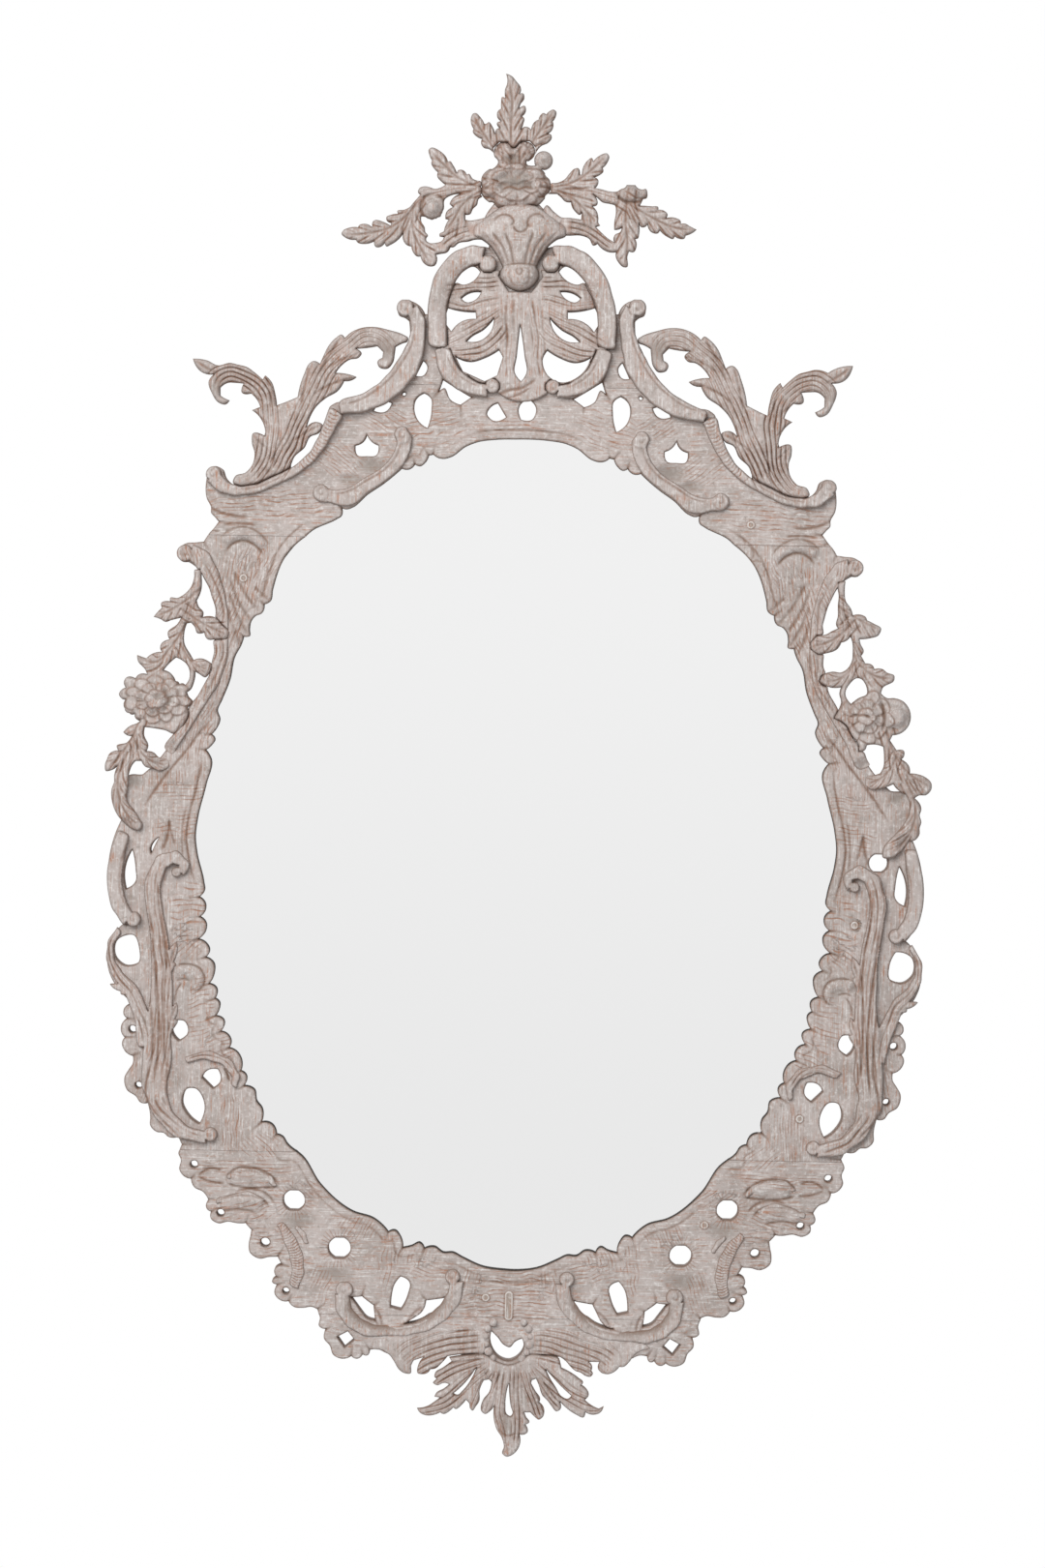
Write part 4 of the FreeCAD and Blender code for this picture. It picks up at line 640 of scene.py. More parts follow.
@dataclass
class Outline:
    """Outline of a piece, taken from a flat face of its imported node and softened."""

    loops: list
    notches: list

    # Turns in degrees that stay sharp: at a notch, at a tip and in an opening; and the least that counts
    NOTCH = -38.0
    TIP = 98.0
    HOLE_CORNER = 72.0
    LEAST_TURN = 0.4
    # In millimetres: room round a bore, level run that is a joint, and how far a face may be off its level
    BORE_ROOM = 0.8
    JOINT_RUN = 8.0
    OFF_LEVEL = 0.03
    # Least area of a ring, share of an edge cut off at its ends, and room of the scattered points in steps
    SMALLEST_AREA = 2.0
    CORNER_CUT = 0.12
    ROW_SHARE = 0.866
    CLEAR_SHARE = 0.55

    @classmethod
    def of_node(
        cls, node: str, level: float, front: bool, step: float, skip: list, rounded: bool,
    ) -> "Outline":
        """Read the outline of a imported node.

        Args:
            node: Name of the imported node.
            level: Depth of the flat face, in millimetres.
            front: Whether that face looks to the front.
            step: Length between the samples of the softened outline.
            skip: Centres and half sizes of the bores that are left closed.
            rounded: Whether the corners are cut off first.

        Returns:
            The softened outline.
        """
        loops = []
        notches = []
        for points in cls.rings(node, level, front):
            for centre, half in skip:
                points = points[(np.abs(points - centre) > half + cls.BORE_ROOM).any(1)]
            if len(points) < 3 or abs(area_of(points)) < cls.SMALLEST_AREA:
                continue
            hole = area_of(points) < 0
            if rounded:
                cut = cls.CORNER_CUT * (np.roll(points, -1, 0) - points)
                points = np.stack([points + cut, np.roll(points, -1, 0) - cut], 1).reshape(-1, 2)
            softened, found = cls.soften(points, hole, step)
            loops.append(softened)
            notches += found
        loops.sort(key=lambda points: -area_of(points))
        return cls(loops, notches)

    @classmethod
    def rings(cls, node: str, level: float, front: bool) -> list:
        """Rings of corners round the flat face of a node.

        Args:
            node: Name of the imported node.
            level: Depth of the flat face.
            front: Whether it looks to the front.

        Returns:
            Arrays of x and z, the material to the left of each.
        """
        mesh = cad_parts[node].data
        mesh.calc_loop_triangles()
        label, spots = merged(mesh)
        edges = set()
        for triangle in mesh.loop_triangles:
            corners = [label[index] for index in triangle.vertices]
            if len(set(corners)) < 3 or np.abs(spots[corners, 1] - level).max() > cls.OFF_LEVEL:
                continue
            if not front:
                corners.reverse()
            edges.update(zip(corners, corners[1:] + corners[:1]))
        ahead = {}
        for one, two in edges:
            if (two, one) not in edges:
                ahead.setdefault(one, []).append(two)
        rings = []
        while ahead:
            start = next(iter(ahead))
            ring = [start]
            here = start
            while True:
                after = ahead[here].pop()
                if not ahead[here]:
                    del ahead[here]
                if after == start or after not in ahead:
                    break
                ring.append(after)
                here = after
            points = spots[ring][:, [0, 2]]
            keep = np.abs(turns_of(points)) > cls.LEAST_TURN
            rings.append(points[keep] if keep.sum() > 2 else points)
        return rings

    @classmethod
    def soften(cls, points: np.ndarray, hole: bool, step: float) -> tuple:
        """Round the chisel cuts of an outline off, and keep its notches and tips.

        Args:
            points: Corners of the ring.
            hole: Whether the ring goes round an opening.
            step: Length between samples.

        Returns:
            Samples of the softened ring, and the notches as pairs of place and inward direction.
        """
        turns = turns_of(points)
        level = np.abs(np.roll(points, -1, axis=0) - points)
        flat = (level[:, 1] < 0.02) & (level[:, 0] > cls.JOINT_RUN)
        sharp = flat | np.roll(flat, 1)
        sharp |= (np.abs(turns) > cls.HOLE_CORNER) if hole else (turns < cls.NOTCH) | (turns > cls.TIP)
        corners = np.nonzero(sharp)[0]
        notches = []
        if not hole:
            for index in np.nonzero(turns < cls.NOTCH)[0]:
                one = points[index - 1] - points[index]
                two = points[(index + 1) % len(points)] - points[index]
                outward = one / np.linalg.norm(one) + two / np.linalg.norm(two)
                if np.linalg.norm(outward) > 1e-3:
                    notches.append((points[index], -outward / np.linalg.norm(outward)))
        if not len(corners):
            return hermite(points, True, step), notches
        samples = []
        for one, two in zip(corners, np.append(corners[1:], corners[0] + len(points))):
            run = points[np.arange(one, two + 1) % len(points)]
            samples.append(hermite(run, False, step)[:-1])
        return np.vstack(samples), notches

    def inside(self, places: np.ndarray) -> np.ndarray:
        """Whether each place lies within the material, by counting crossings of the outline."""
        crossings = np.zeros(len(places), int)
        for points in self.loops:
            one, two = points, np.roll(points, -1, axis=0)
            for (x1, z1), (x2, z2) in zip(one, two):
                if z1 == z2:
                    continue
                rows = (places[:, 1] >= min(z1, z2)) & (places[:, 1] < max(z1, z2))
                hit = np.nonzero(rows)[0]
                if len(hit):
                    cross = x1 + (places[hit, 1] - z1) / (z2 - z1) * (x2 - x1)
                    crossings[hit] += places[hit, 0] < cross
        return crossings % 2 == 1

    def filled(self, spots: np.ndarray, faces: list, rings: list) -> list:
        """Triangles that lie within the material.

        Args:
            spots: Places of the points.
            faces: Triangles on those points.
            rings: The outline as numbers of the points.

        Returns:
            The triangles that do not lie across an opening.
        """
        rim = np.zeros(len(spots), bool)
        rim[[index for ring in rings for index in ring]] = True
        triangles = np.array(faces)
        doubtful = np.nonzero(rim[triangles].all(1))[0]
        kept = np.ones(len(triangles), bool)
        kept[doubtful] = self.inside(spots[triangles[doubtful]].mean(1))
        return [tuple(int(index) for index in triangle) for triangle in triangles[kept]]

    def scatter(self, step: float) -> np.ndarray:
        """Even points within the material, clear of the outline."""
        every = np.vstack(self.loops)
        low, high = every.min(0), every.max(0)
        rows = np.arange(low[1], high[1], step * self.ROW_SHARE)
        places = []
        for number, row in enumerate(rows):
            x = np.arange(low[0] + (number % 2) * step / 2, high[0], step)
            places.append(np.column_stack([x, np.full(len(x), row)]))
        places = np.vstack(places)
        places = places[self.inside(places)]
        return places[gaps_to(every, places) > self.CLEAR_SHARE * step]


def triangulated(loops: list, loose: np.ndarray) -> tuple:
    """Fill an outline with triangles.

    Args:
        loops: Rings of the outline.
        loose: Points within it.

    Returns:
        Places of all points, triangles, and the rings as numbers of those points.
    """
    every = np.vstack(loops + ([loose] if len(loose) else []))
    edges = []
    rings = []
    start = 0
    for points in loops:
        ring = list(range(start, start + len(points)))
        rings.append(ring)
        edges += list(zip(ring, ring[1:] + ring[:1]))
        start += len(points)
    spots, _, faces, origin, _, _ = delaunay_2d_cdt([Vector(p) for p in every], edges, [], 2, 1e-4)
    home = {}
    for index, sources in enumerate(origin):
        for source in sources:
            home[source] = index
    rings = [[home[index] for index in ring] for ring in rings]
    return np.array([(p.x, p.y) for p in spots]), [tuple(f) for f in faces], rings


def neighbours_of(faces: list) -> np.ndarray:
    """Pairs of points that share an edge."""
    triangles = np.array(faces)
    pairs = np.vstack([triangles[:, [0, 1]], triangles[:, [1, 2]], triangles[:, [2, 0]]])
    return np.unique(np.sort(pairs, axis=1), axis=0)


def eased(values: np.ndarray, pairs: np.ndarray, rounds: int) -> np.ndarray:
    """Values drawn towards the mean of their neighbours, a number of times over."""
    one, two = pairs.T
    count = len(values)
    degree = np.maximum(np.bincount(one, minlength=count) + np.bincount(two, minlength=count), 1)
    for _ in range(rounds):
        total = np.bincount(one, values[two], count) + np.bincount(two, values[one], count)
        values = 0.5 * values + 0.5 * total / degree
    return values


def crowned(values: np.ndarray, pairs: np.ndarray, rounds: int) -> np.ndarray:
    """Greatest value near each point."""
    values = values.copy()
    one, two = pairs.T
    for _ in range(rounds):
        top = values.copy()
        np.maximum.at(top, one, values[two])
        np.maximum.at(top, two, values[one])
        values = top
    return values


WOOD_COLOURS = ("Wash", "Shade", "Ruddy", "Brown", "Chalk")


@dataclass(frozen=True)
class Finish:
    """Limed wood: a pale wash over pine, thin on the high places and brown in the cuts."""

    name: str
    slot: str
    grain: Grain
    wash: tuple = (0.530, 0.467, 0.441)
    # Grey brown of the mottling, also used for the shade painted into recesses
    shade: tuple = (0.262, 0.224, 0.196)
    ruddy: tuple = (0.420, 0.200, 0.122)
    brown: tuple = (0.205, 0.090, 0.045)
    chalk: tuple = (0.760, 0.730, 0.710)
    mottle: float = 0.55

    # Stretch of the noise along the grain and across it
    ALONG, CROSS = 2.4, 42.0
    ROUGHNESS = 0.72
    SHEEN = 0.25

    def material(self) -> bpy.types.Material:
        """Material of this finish."""
        stretch = [self.CROSS, self.CROSS, self.CROSS]
        stretch[0 if self.grain is Grain.ACROSS else 2] = self.ALONG
        given = {label: (*getattr(self, label.lower()), 1.0) for label in WOOD_COLOURS}
        given.update({"Mottle": self.mottle, "Grain": stretch})
        made, tree = new_material(self.name)
        wood = tree.node("ShaderNodeGroup", given, node_tree=limed_group()).outputs
        tree.shade({
            "Base Color": wood["Color"], "Normal": wood["Normal"], "Roughness": self.ROUGHNESS,
            "Specular IOR Level": self.SHEEN,
        })
        return made


class Tree:
    """Short hand for wiring a node tree."""

    def __init__(self, tree: bpy.types.NodeTree) -> None:
        """Work on a node tree."""
        self.tree = tree

    @classmethod
    def group(cls, name: str, kind: str, taken: dict, given: dict) -> "Tree":
        """Start a node group.

        Args:
            name: Name of the group.
            kind: Blender's name of the kind of tree.
            taken: Types of its inputs by their names.
            given: Types of its outputs by their names.

        Returns:
            The new tree.
        """
        tree = bpy.data.node_groups.new(name, kind)
        for in_out, sockets in (("INPUT", taken), ("OUTPUT", given)):
            for label, socket in sockets.items():
                tree.interface.new_socket(label, in_out=in_out, socket_type="NodeSocket" + socket)
        return cls(tree)

    def node(self, kind: str, wired: dict = None, **settings) -> bpy.types.Node:
        """Add a node.

        Args:
            kind: Type of the node.
            wired: What goes into its inputs, by their names or numbers.
            **settings: Properties of the node to set.

        Returns:
            The new node.
        """
        made = self.tree.nodes.new(kind)
        for name, value in settings.items():
            setattr(made, name, value)
        self.wire(made, wired or {})
        return made

    def wire(self, node: bpy.types.Node, wired: dict) -> None:
        """Link sockets to the named inputs of a node, or set the inputs to plain values."""
        for label, source in wired.items():
            if isinstance(source, bpy.types.NodeSocket):
                self.tree.links.new(source, node.inputs[label])
            else:
                node.inputs[label].default_value = source

    def shade(self, wired: dict) -> None:
        """Wire the shader of a material."""
        self.wire(self.tree.nodes["Principled BSDF"], wired)

    def sum(self, operation: str, one: object, two: object = 0.0, clamp: bool = False) -> object:
        """Result of a sum on two values.

        Args:
            operation: Blender's name of the sum.
            one: Socket or number.
            two: Socket or number.
            clamp: Whether the result is kept between 0 and 1.

        Returns:
            The socket that gives the result.
        """
        return self.node("ShaderNodeMath", {0: one, 1: two}, operation=operation, use_clamp=clamp).outputs[0]

    def span(
        self, value: object, low: float, high: float, to_low: float = 0.0, to_high: float = 1.0,
    ) -> object:
        """Value carried smoothly from one span to another.

        Args:
            value: Socket to read.
            low: Where the span starts.
            high: Where it ends.
            to_low: Result at the start.
            to_high: Result at the end.

        Returns:
            The socket that gives the result.
        """
        wired = {"Value": value, "From Min": low, "From Max": high, "To Min": to_low, "To Max": to_high}
        return self.node("ShaderNodeMapRange", wired, interpolation_type="SMOOTHSTEP").outputs["Result"]

    def blend(self, share: object, one: object, two: object) -> bpy.types.NodeSocket:
        """Colour between two colours.

        Args:
            share: How much of the second.
            one: First colour.
            two: Second colour.

        Returns:
            The socket that gives the colour.
        """
        return self.node("ShaderNodeMix", {0: share, 6: one, 7: two}, data_type="RGBA").outputs[2]

    def noise(self, place: object, scale: float, detail: float = 3.0, rough: float = 0.55) -> object:
        """Noise over a place.

        Args:
            place: Socket of the coordinates.
            scale: Patches in a metre.
            detail: Rounds of finer noise.
            rough: Strength of the finer noise.

        Returns:
            The socket that gives the value.
        """
        wired = {"Vector": place, "Scale": scale, "Detail": detail, "Roughness": rough}
        return self.node("ShaderNodeTexNoise", wired).outputs["Fac"]


def new_material(name: str) -> tuple:
    """New material, and its node tree."""
    made = bpy.data.materials.new(name)
    made.use_nodes = True
    return made, Tree(made.node_tree)


LIMED_GROUP = "limed_wood"
# Patches in a metre, rounds of finer noise and their strength
WOOD_NOISES = {
    "patches": (17.0, 4.0, 0.6), "blots": (62.0, 3.0, 0.62), "specks": (210.0, 3.0, 0.65),
    "stains": (33.0, 4.0, 0.65), "breaks": (85.0, 2.0, 0.5),
}
GRAIN_NOISE = (13.0, 4.0, 0.62)
# Keeps the phase of the tool lines above 0
PHASE_SHIFT = 64.0
BUMP_STRENGTH = 0.7
BUMP_DEPTH = 0.9


def limed_group() -> bpy.types.NodeTree:
    """Shared wood effect: mottled wash, grain, fine tool lines, and dirt, wear and painted shade where the face
    says so.
    """
    found = bpy.data.node_groups.get(LIMED_GROUP)
    if found:
        return found
    taken = {**{label: "Color" for label in WOOD_COLOURS}, "Mottle": "Float", "Grain": "Vector"}
    made = Tree.group(LIMED_GROUP, "ShaderNodeTree", taken, {"Color": "Color", "Normal": "Vector"})
    given = made.node("NodeGroupInput").outputs
    place = made.node("ShaderNodeTexCoord").outputs["Object"]
    worn_and_shaded = {name: made.node("ShaderNodeAttribute", attribute_name=name).outputs["Fac"] for name in MARKS}
    noise = {name: made.noise(place, *numbers) for name, numbers in WOOD_NOISES.items()}
    stretched = made.node("ShaderNodeVectorMath", {0: place, 1: given["Grain"]}, operation="MULTIPLY")
    grain = made.noise(stretched.outputs[0], *GRAIN_NOISE)
    specks, stains, breaks = noise["specks"], noise["stains"], noise["breaks"]
    # Fine tool lines, broken here and there
    fraction = made.sum("FRACT", made.sum("ADD", worn_and_shaded["phase"], PHASE_SHIFT))
    swing = made.sum("ABSOLUTE", made.sum("SUBTRACT", fraction, 0.5))
    unbroken = made.sum("MULTIPLY", worn_and_shaded["lines"], made.span(breaks, 0.36, 0.58, 0.2, 1.0))
    line = made.sum("MULTIPLY", made.span(swing, 0.30, 0.46), unbroken)
    # Mottled wash, ruddy streaks along the grain, and chalk left in the pores
    patches = made.span(noise["patches"], 0.36, 0.66, 0.0, 0.55)
    shade = made.sum("ADD", patches, made.span(noise["blots"], 0.46, 0.70, 0.0, 0.5))
    colour = made.blend(made.sum("MULTIPLY", shade, given["Mottle"], True), given["Wash"], given["Shade"])
    streak = made.sum("MULTIPLY", made.span(grain, 0.55, 0.64), made.span(stains, 0.38, 0.62, 0.25, 0.85))
    colour = made.blend(streak, colour, given["Ruddy"])
    colour = made.blend(made.span(stains, 0.56, 0.76, 0.0, 0.3), colour, given["Ruddy"])
    pores = made.span(grain, 0.46, 0.34, 0.0, 0.60)
    pale = made.sum("ADD", pores, made.span(specks, 0.52, 0.66, 0.0, 0.45), True)
    colour = made.blend(pale, colour, given["Chalk"])
    colour = made.blend(made.span(specks, 0.42, 0.30, 0.0, 0.5), colour, given["Shade"])
    # Dirt with painted recess shade, wear with painted edge shade, and the brown of the cuts, where the face
    # says so
    # Painted shade and dirt darken towards the Shade colour; painted edge shade and wear darken towards the
    # Brown
    colour = made.blend(made.sum("MULTIPLY", worn_and_shaded["dirt_and_shade"], 0.8, True), colour, given["Shade"])
    colour = made.blend(made.sum("MULTIPLY", worn_and_shaded["edge_wear_and_shade"], 0.65, True), colour, given["Brown"])
    colour = made.blend(made.sum("MULTIPLY", line, 0.85), colour, given["Ruddy"])
    cut = made.sum("ADD", made.sum("MULTIPLY", line, 0.25), made.sum("MULTIPLY", worn_and_shaded["rust"], 0.85), True)
    cut = made.sum("MULTIPLY", cut, made.span(breaks, 0.34, 0.56, 0.55, 1.0))
    colour = made.blend(cut, colour, given["Brown"])
    height = made.sum("SUBTRACT", made.sum("MULTIPLY", grain, -0.35), line)
    height = made.sum("ADD", height, made.sum("MULTIPLY", specks, 0.25))
    raised = {"Strength": BUMP_STRENGTH, "Distance": BUMP_DEPTH * MM, "Height": height}
    normal = made.node("ShaderNodeBump", raised).outputs["Normal"]
    made.node("NodeGroupOutput", {"Color": colour, "Normal": normal})
    return made.tree


@dataclass(frozen=True)
class Plain:
    """Finish of one colour."""

    name: str
    colour: tuple
    rough: float
    metal: float = 0.0

    def material(self) -> bpy.types.Material:
        """Material of this finish."""
        made, tree = new_material(self.name)
        tree.shade({"Base Color": (*self.colour, 1.0), "Roughness": self.rough, "Metallic": self.metal})
        return made


RAIL_FINISH = Finish("limed_rail", "limed_board", Grain.ACROSS)
STILE_FINISH = Finish("limed_stile", "limed_board", Grain.UPRIGHT)
CARVED_FINISH = Finish("limed_carved", "limed_carving", Grain.UPRIGHT, mottle=0.45)
REVEAL = Plain("blackened_reveal", (0.020, 0.014, 0.010), 0.8)
BACK_FINISH = Finish("aged_back", "back_panel", Grain.UPRIGHT, (0.250, 0.165, 0.100), (0.150, 0.095, 0.060),
                     (0.190, 0.095, 0.050), (0.080, 0.045, 0.030), (0.330, 0.240, 0.165), 0.7)
BARE_FINISH = Finish("bare_pine", "dowel_wood", Grain.ACROSS, (0.520, 0.370, 0.220), (0.400, 0.270, 0.150),
                     (0.380, 0.220, 0.110), (0.200, 0.110, 0.060), (0.600, 0.460, 0.300), 0.5)
BRASS = Plain("dull_brass", (0.420, 0.300, 0.120), 0.42, 1.0)
IRON = Plain("dark_iron", (0.160, 0.150, 0.140), 0.5, 0.9)
SHARP_ANGLE = math.radians(50)


@lru_cache(maxsize=None)
def material_of(finish: object) -> bpy.types.Material:
    """Material of a finish, made once."""
    return finish.material()


def at_depth(flat: np.ndarray, depth: object) -> np.ndarray:
    """Rows of x, y and z from rows of x and z, with one depth for all or one for each."""
    return np.column_stack([flat[:, 0], np.broadcast_to(depth, len(flat)), flat[:, 1]])


def linked(name: str, data: bpy.types.ID) -> bpy.types.Object:
    """New object in the scene."""
    made = bpy.data.objects.new(name, data)
    bpy.context.scene.collection.objects.link(made)
    return made


def piece_of(
    name: str, points: np.ndarray, faces: list, finishes: list, chosen: list = None,
) -> bpy.types.Object:
    """Mesh piece from points in millimetres.

    Args:
        name: Name of the piece.
        points: Rows of x, y and z.
        faces: Corners of each face.
        finishes: Finishes of the piece.
        chosen: Number of the finish of each face.

    Returns:
        The new object.
    """
    mesh = bpy.data.meshes.new(name)
    mesh.from_pydata((points * MM).tolist(), [], faces)
    for finish in finishes:
        mesh.materials.append(material_of(finish))
    if chosen is not None:
        mesh.polygons.foreach_set("material_index", chosen)
    mesh.update()
    mesh.polygons.foreach_set("use_smooth", [True] * len(mesh.polygons))
    mesh.set_sharp_from_angle(angle=SHARP_ANGLE)
    return linked(name, mesh)


def clusters_of(node: str) -> list:
    """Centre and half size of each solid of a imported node, as x and z in millimetres."""
    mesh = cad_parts[node].data
    label, spots = merged(mesh)
    root = list(range(len(spots)))

    def top(index: int) -> int:
        """Root of a point's cluster."""
        while root[index] != index:
            index = root[index]
        return index

    for one, two in (edge.vertices for edge in mesh.edges):
        root[top(label[one])] = top(label[two])
    groups = {}
    for index in range(len(spots)):
        groups.setdefault(top(index), []).append(index)
    boxes = [(spots[group].min(0)[[0, 2]], spots[group].max(0)[[0, 2]]) for group in groups.values()]
    return [((low + high) / 2, (high - low) / 2) for low, high in boxes]


@dataclass
class Relief:
    """Carved piece: softened outline, meshed face, carver's cuts, walls and back."""

    node: str
    finish: Finish
    layer: Layer
    step: float
    cuts: list = field(default_factory=list)
    profile: Profile = Profile.BAND
    body: str = "frame"
    outline: Outline = field(init=False, repr=False)

    # Depths of a carving's back, and of a board's face, back and rebate
    BACK = -33.3
    FRONT = -33.0
    REAR = -9.0
    REBATE = -21.0
    # Longest step along an outline, and how near to a joint an edge counts as that joint
    EDGE_STEP = 1.4
    JOINT_ROOM = 0.6
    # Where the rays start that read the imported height, the shares of the crown that stand in where none
    # hits and that are left at least, and the rounds of smoothing for each profile
    RAY_START = -200.0
    CROWN_ROUNDS = 5
    MISSED_SHARE, LEAST_SHARE = 0.7, 0.5
    SMOOTHING = {Profile.BAND: 5, Profile.SHEET: 4, Profile.ROUND: 9}
    LEAST_RISE = 0.8
    # Rounds of smoothing that show what is low, the depth at which the painted shade of a recess is full, and
    # the painted shade and dirt laid low on a carving
    LOW_ROUNDS, LOW_DEPTH = 14, 1.3
    SUNK_DIRT, SUNK_SHARE = 0.35, 1.4
    # Strength and width of the wear and painted edge shade along the edges of carvings and of boards
    CARVING_WEAR, BOARD_WEAR = (0.6, 2.0), (0.8, 2.4)
    # Strength, size and seed of the marks that the tools leave everywhere
    TOOL_MARKS = ((0.25, 7, 3), (0.15, 3.1, 8))
    # Cuts that run on from the notches of a board, each of its own length
    NOTCH_REACH, NOTCH_SPREAD, NOTCH_TURN = 11, 9, 0.618
    NOTCH_WIDTH, NOTCH_DEPTH, NOTCH_STAIN = 2.8, 2.2, 0.65
    # Line along the sight edge, and the fall from there to the plate
    LIP_INSET, LIP_WIDTH, LIP_STAIN = 10.5, 2.6, 0.55
    FALL_REACH, FALL_DEPTH = 9, 1.6
    NO_SIGHT = 999.0
    # Uneven ground, rounded edges and worn joints of a board
    SWELL = 0.9
    EDGE_RADIUS, EDGE_DEPTH = 2.6, 2.4
    SEAM_WIDTH, SEAM_STAIN = 1.6, 0.3
    # Flattened ground round a plug, and the ring mark there
    PLUG_ROOM, PLUG_FLAT = 3.5, 0.2
    PLUG_WIDTH, PLUG_STAIN = 2.4, 0.9
    LOWEST, HIGHEST = -8.0, 6.0
    # Points round the rebate, and their distance from its step
    REBATE_SIDES, REBATE_GAP = 720, 0.2

    def build(self) -> bpy.types.Object:
        """Make the piece and let it ride on its body."""
        self.outline = self.read_outline()
        places, faces, rings = triangulated(self.outline.loops, self.outline.scatter(self.step))
        faces = self.outline.filled(places, faces, rings)
        pairs = neighbours_of(faces)
        face = Face(places, self.rough(places, pairs), self.edge_distance(places))
        self.finish_face(face, pairs)
        made = self.walled(face, faces, rings)
        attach(made, self.body)
        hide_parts(self.node)
        LOG.info("%s: %d faces", self.node, len(made.data.polygons))
        return made

    def read_outline(self) -> Outline:
        """Outline of the piece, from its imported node."""
        carving = self.layer is Layer.CARVING
        return Outline.of_node(
            self.node, self.BACK if carving else self.FRONT, not carving, min(self.step, self.EDGE_STEP),
            [] if carving else PLUGS, self.profile is Profile.ROUND,
        )

    def edge_distance(self, places: np.ndarray) -> np.ndarray:
        """Distance of each place from the outline, joints between boards left out."""
        every = np.vstack(self.outline.loops)
        if self.layer is Layer.BOARD:
            every = every[np.abs(every[:, 1:] - JOINT_LEVELS).min(1) > self.JOINT_ROOM]
        return gaps_to(every, places)

    def rough(self, places: np.ndarray, pairs: np.ndarray) -> np.ndarray:
        """Height of the roughed-out blank at each place, rounded over."""
        if self.layer is Layer.BOARD:
            return np.zeros(len(places))
        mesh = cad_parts[self.node].data
        mesh.calc_loop_triangles()
        spots = [vertex.co / MM for vertex in mesh.vertices]
        tree = BVHTree.FromPolygons(spots, [tuple(t.vertices) for t in mesh.loop_triangles])
        rise = np.full(len(places), -1.0)
        for index, (x, z) in enumerate(places):
            hit = tree.ray_cast((x, self.RAY_START, z), (0, 1, 0))[0]
            if hit is not None:
                rise[index] = self.BACK - hit.y
        crown = crowned(np.maximum(rise, 0.0), pairs, self.CROWN_ROUNDS)
        share = next((number for name, number in LOWERED.items() if self.node.startswith(name)), 1.0)
        if self.profile is Profile.BAND:
            rise = crown
        else:
            rise = np.where(rise < 0, self.MISSED_SHARE * crown, rise)
            rise = np.maximum(rise, self.LEAST_SHARE * crown)
        return eased(rise, pairs, self.SMOOTHING[self.profile]) * share

    def finish_face(self, face: Face, pairs: np.ndarray) -> None:
        """Carve the face, work out where it is worn and dirty, and paint shade into its recesses, its low
        places and along its edges.
        """
        crown = crowned(face.rise, pairs, self.CROWN_ROUNDS)
        for cut in self.cuts:
            cut.carve(face)
        if self.layer is Layer.BOARD:
            self.carve_board(face)
        else:
            radius, kept = BEVELS[self.profile]
            round_over = quarter_round(face.edge, radius)
            face.rise = np.maximum(face.rise, self.LEAST_RISE) * (kept + (1 - kept) * round_over)
            # Wear and painted shade: a brown line along the rounded edge of the carving
            worn_and_shaded, width = self.CARVING_WEAR
            face.stain("edge_wear_and_shade", worn_and_shaded * bell(face.edge, width))
        for strength, size, seed in self.TOOL_MARKS:
            face.rise += strength * grain_noise(face.places, size, seed)
        # Painted shade: points lower than the smoothed face round them are darkened, as recesses would be
        low = eased(face.rise, pairs, self.LOW_ROUNDS) - face.rise
        face.dirt_and_shade = unit(np.maximum(face.dirt_and_shade, low / self.LOW_DEPTH))
        # Painted shade and dirt: parts of a carving that lie low beneath its crown are darkened
        if self.layer is Layer.CARVING:
            sunk = unit(1 - face.rise / np.maximum(crown, 1) * self.SUNK_SHARE)
            face.stain("dirt_and_shade", self.SUNK_DIRT * sunk)

    def carve_board(self, face: Face) -> None:
        """Work the ground of a board: notches run on as cuts, and the sight edge gets a lip."""
        for number, (corner, inward) in enumerate(self.outline.notches):
            reach = self.NOTCH_REACH + self.NOTCH_SPREAD * ((number * self.NOTCH_TURN) % 1.0)
            offset = face.places - corner
            run = offset @ inward
            away = np.abs(offset[:, 0] * inward[1] - offset[:, 1] * inward[0])
            chosen = np.nonzero((run > -2) & (run < reach) & (away < 5))[0]
            cut = bell(away[chosen], self.NOTCH_WIDTH) * unit((reach - run[chosen]) / reach)
            face.rise[chosen] -= self.NOTCH_DEPTH * cut
            face.stain("rust", self.NOTCH_STAIN * cut, chosen)
        sight = self.sight_distance(face.places)
        presence = unit(0.5 + 1.4 * grain_noise(face.places, 45, 21))
        lip = bell(sight - self.LIP_INSET, self.LIP_WIDTH) * presence
        face.rise -= lip + self.FALL_DEPTH * unit(1 - sight / self.FALL_REACH) * presence
        face.stain("rust", self.LIP_STAIN * lip)
        face.rise += self.SWELL * grain_noise(face.places, 26, 11)
        face.rise -= self.EDGE_DEPTH * (1 - quarter_round(face.edge, self.EDGE_RADIUS))
        # Wear and painted shade: a brown line along the rounded edge of the board
        worn_and_shaded, width = self.BOARD_WEAR
        face.stain("edge_wear_and_shade", worn_and_shaded * bell(face.edge, width))
        seam = bell(np.abs(face.places[:, 1:] - JOINT_LEVELS).min(1), self.SEAM_WIDTH)
        face.stain("rust", self.SEAM_STAIN * seam * presence)
        for centre, half in PLUGS:
            beyond = np.maximum(np.abs(face.places - centre) - (half - half.min()), 0)
            away = np.hypot(beyond[:, 0], beyond[:, 1]) - half.min()
            flattened = np.minimum(face.rise, 0.0) * self.PLUG_FLAT
            face.rise = np.where(away < self.PLUG_ROOM, flattened, face.rise)
            face.stain("rust", self.PLUG_STAIN * bell(away, self.PLUG_WIDTH))
        face.rise = np.clip(face.rise, self.LOWEST, self.HIGHEST)

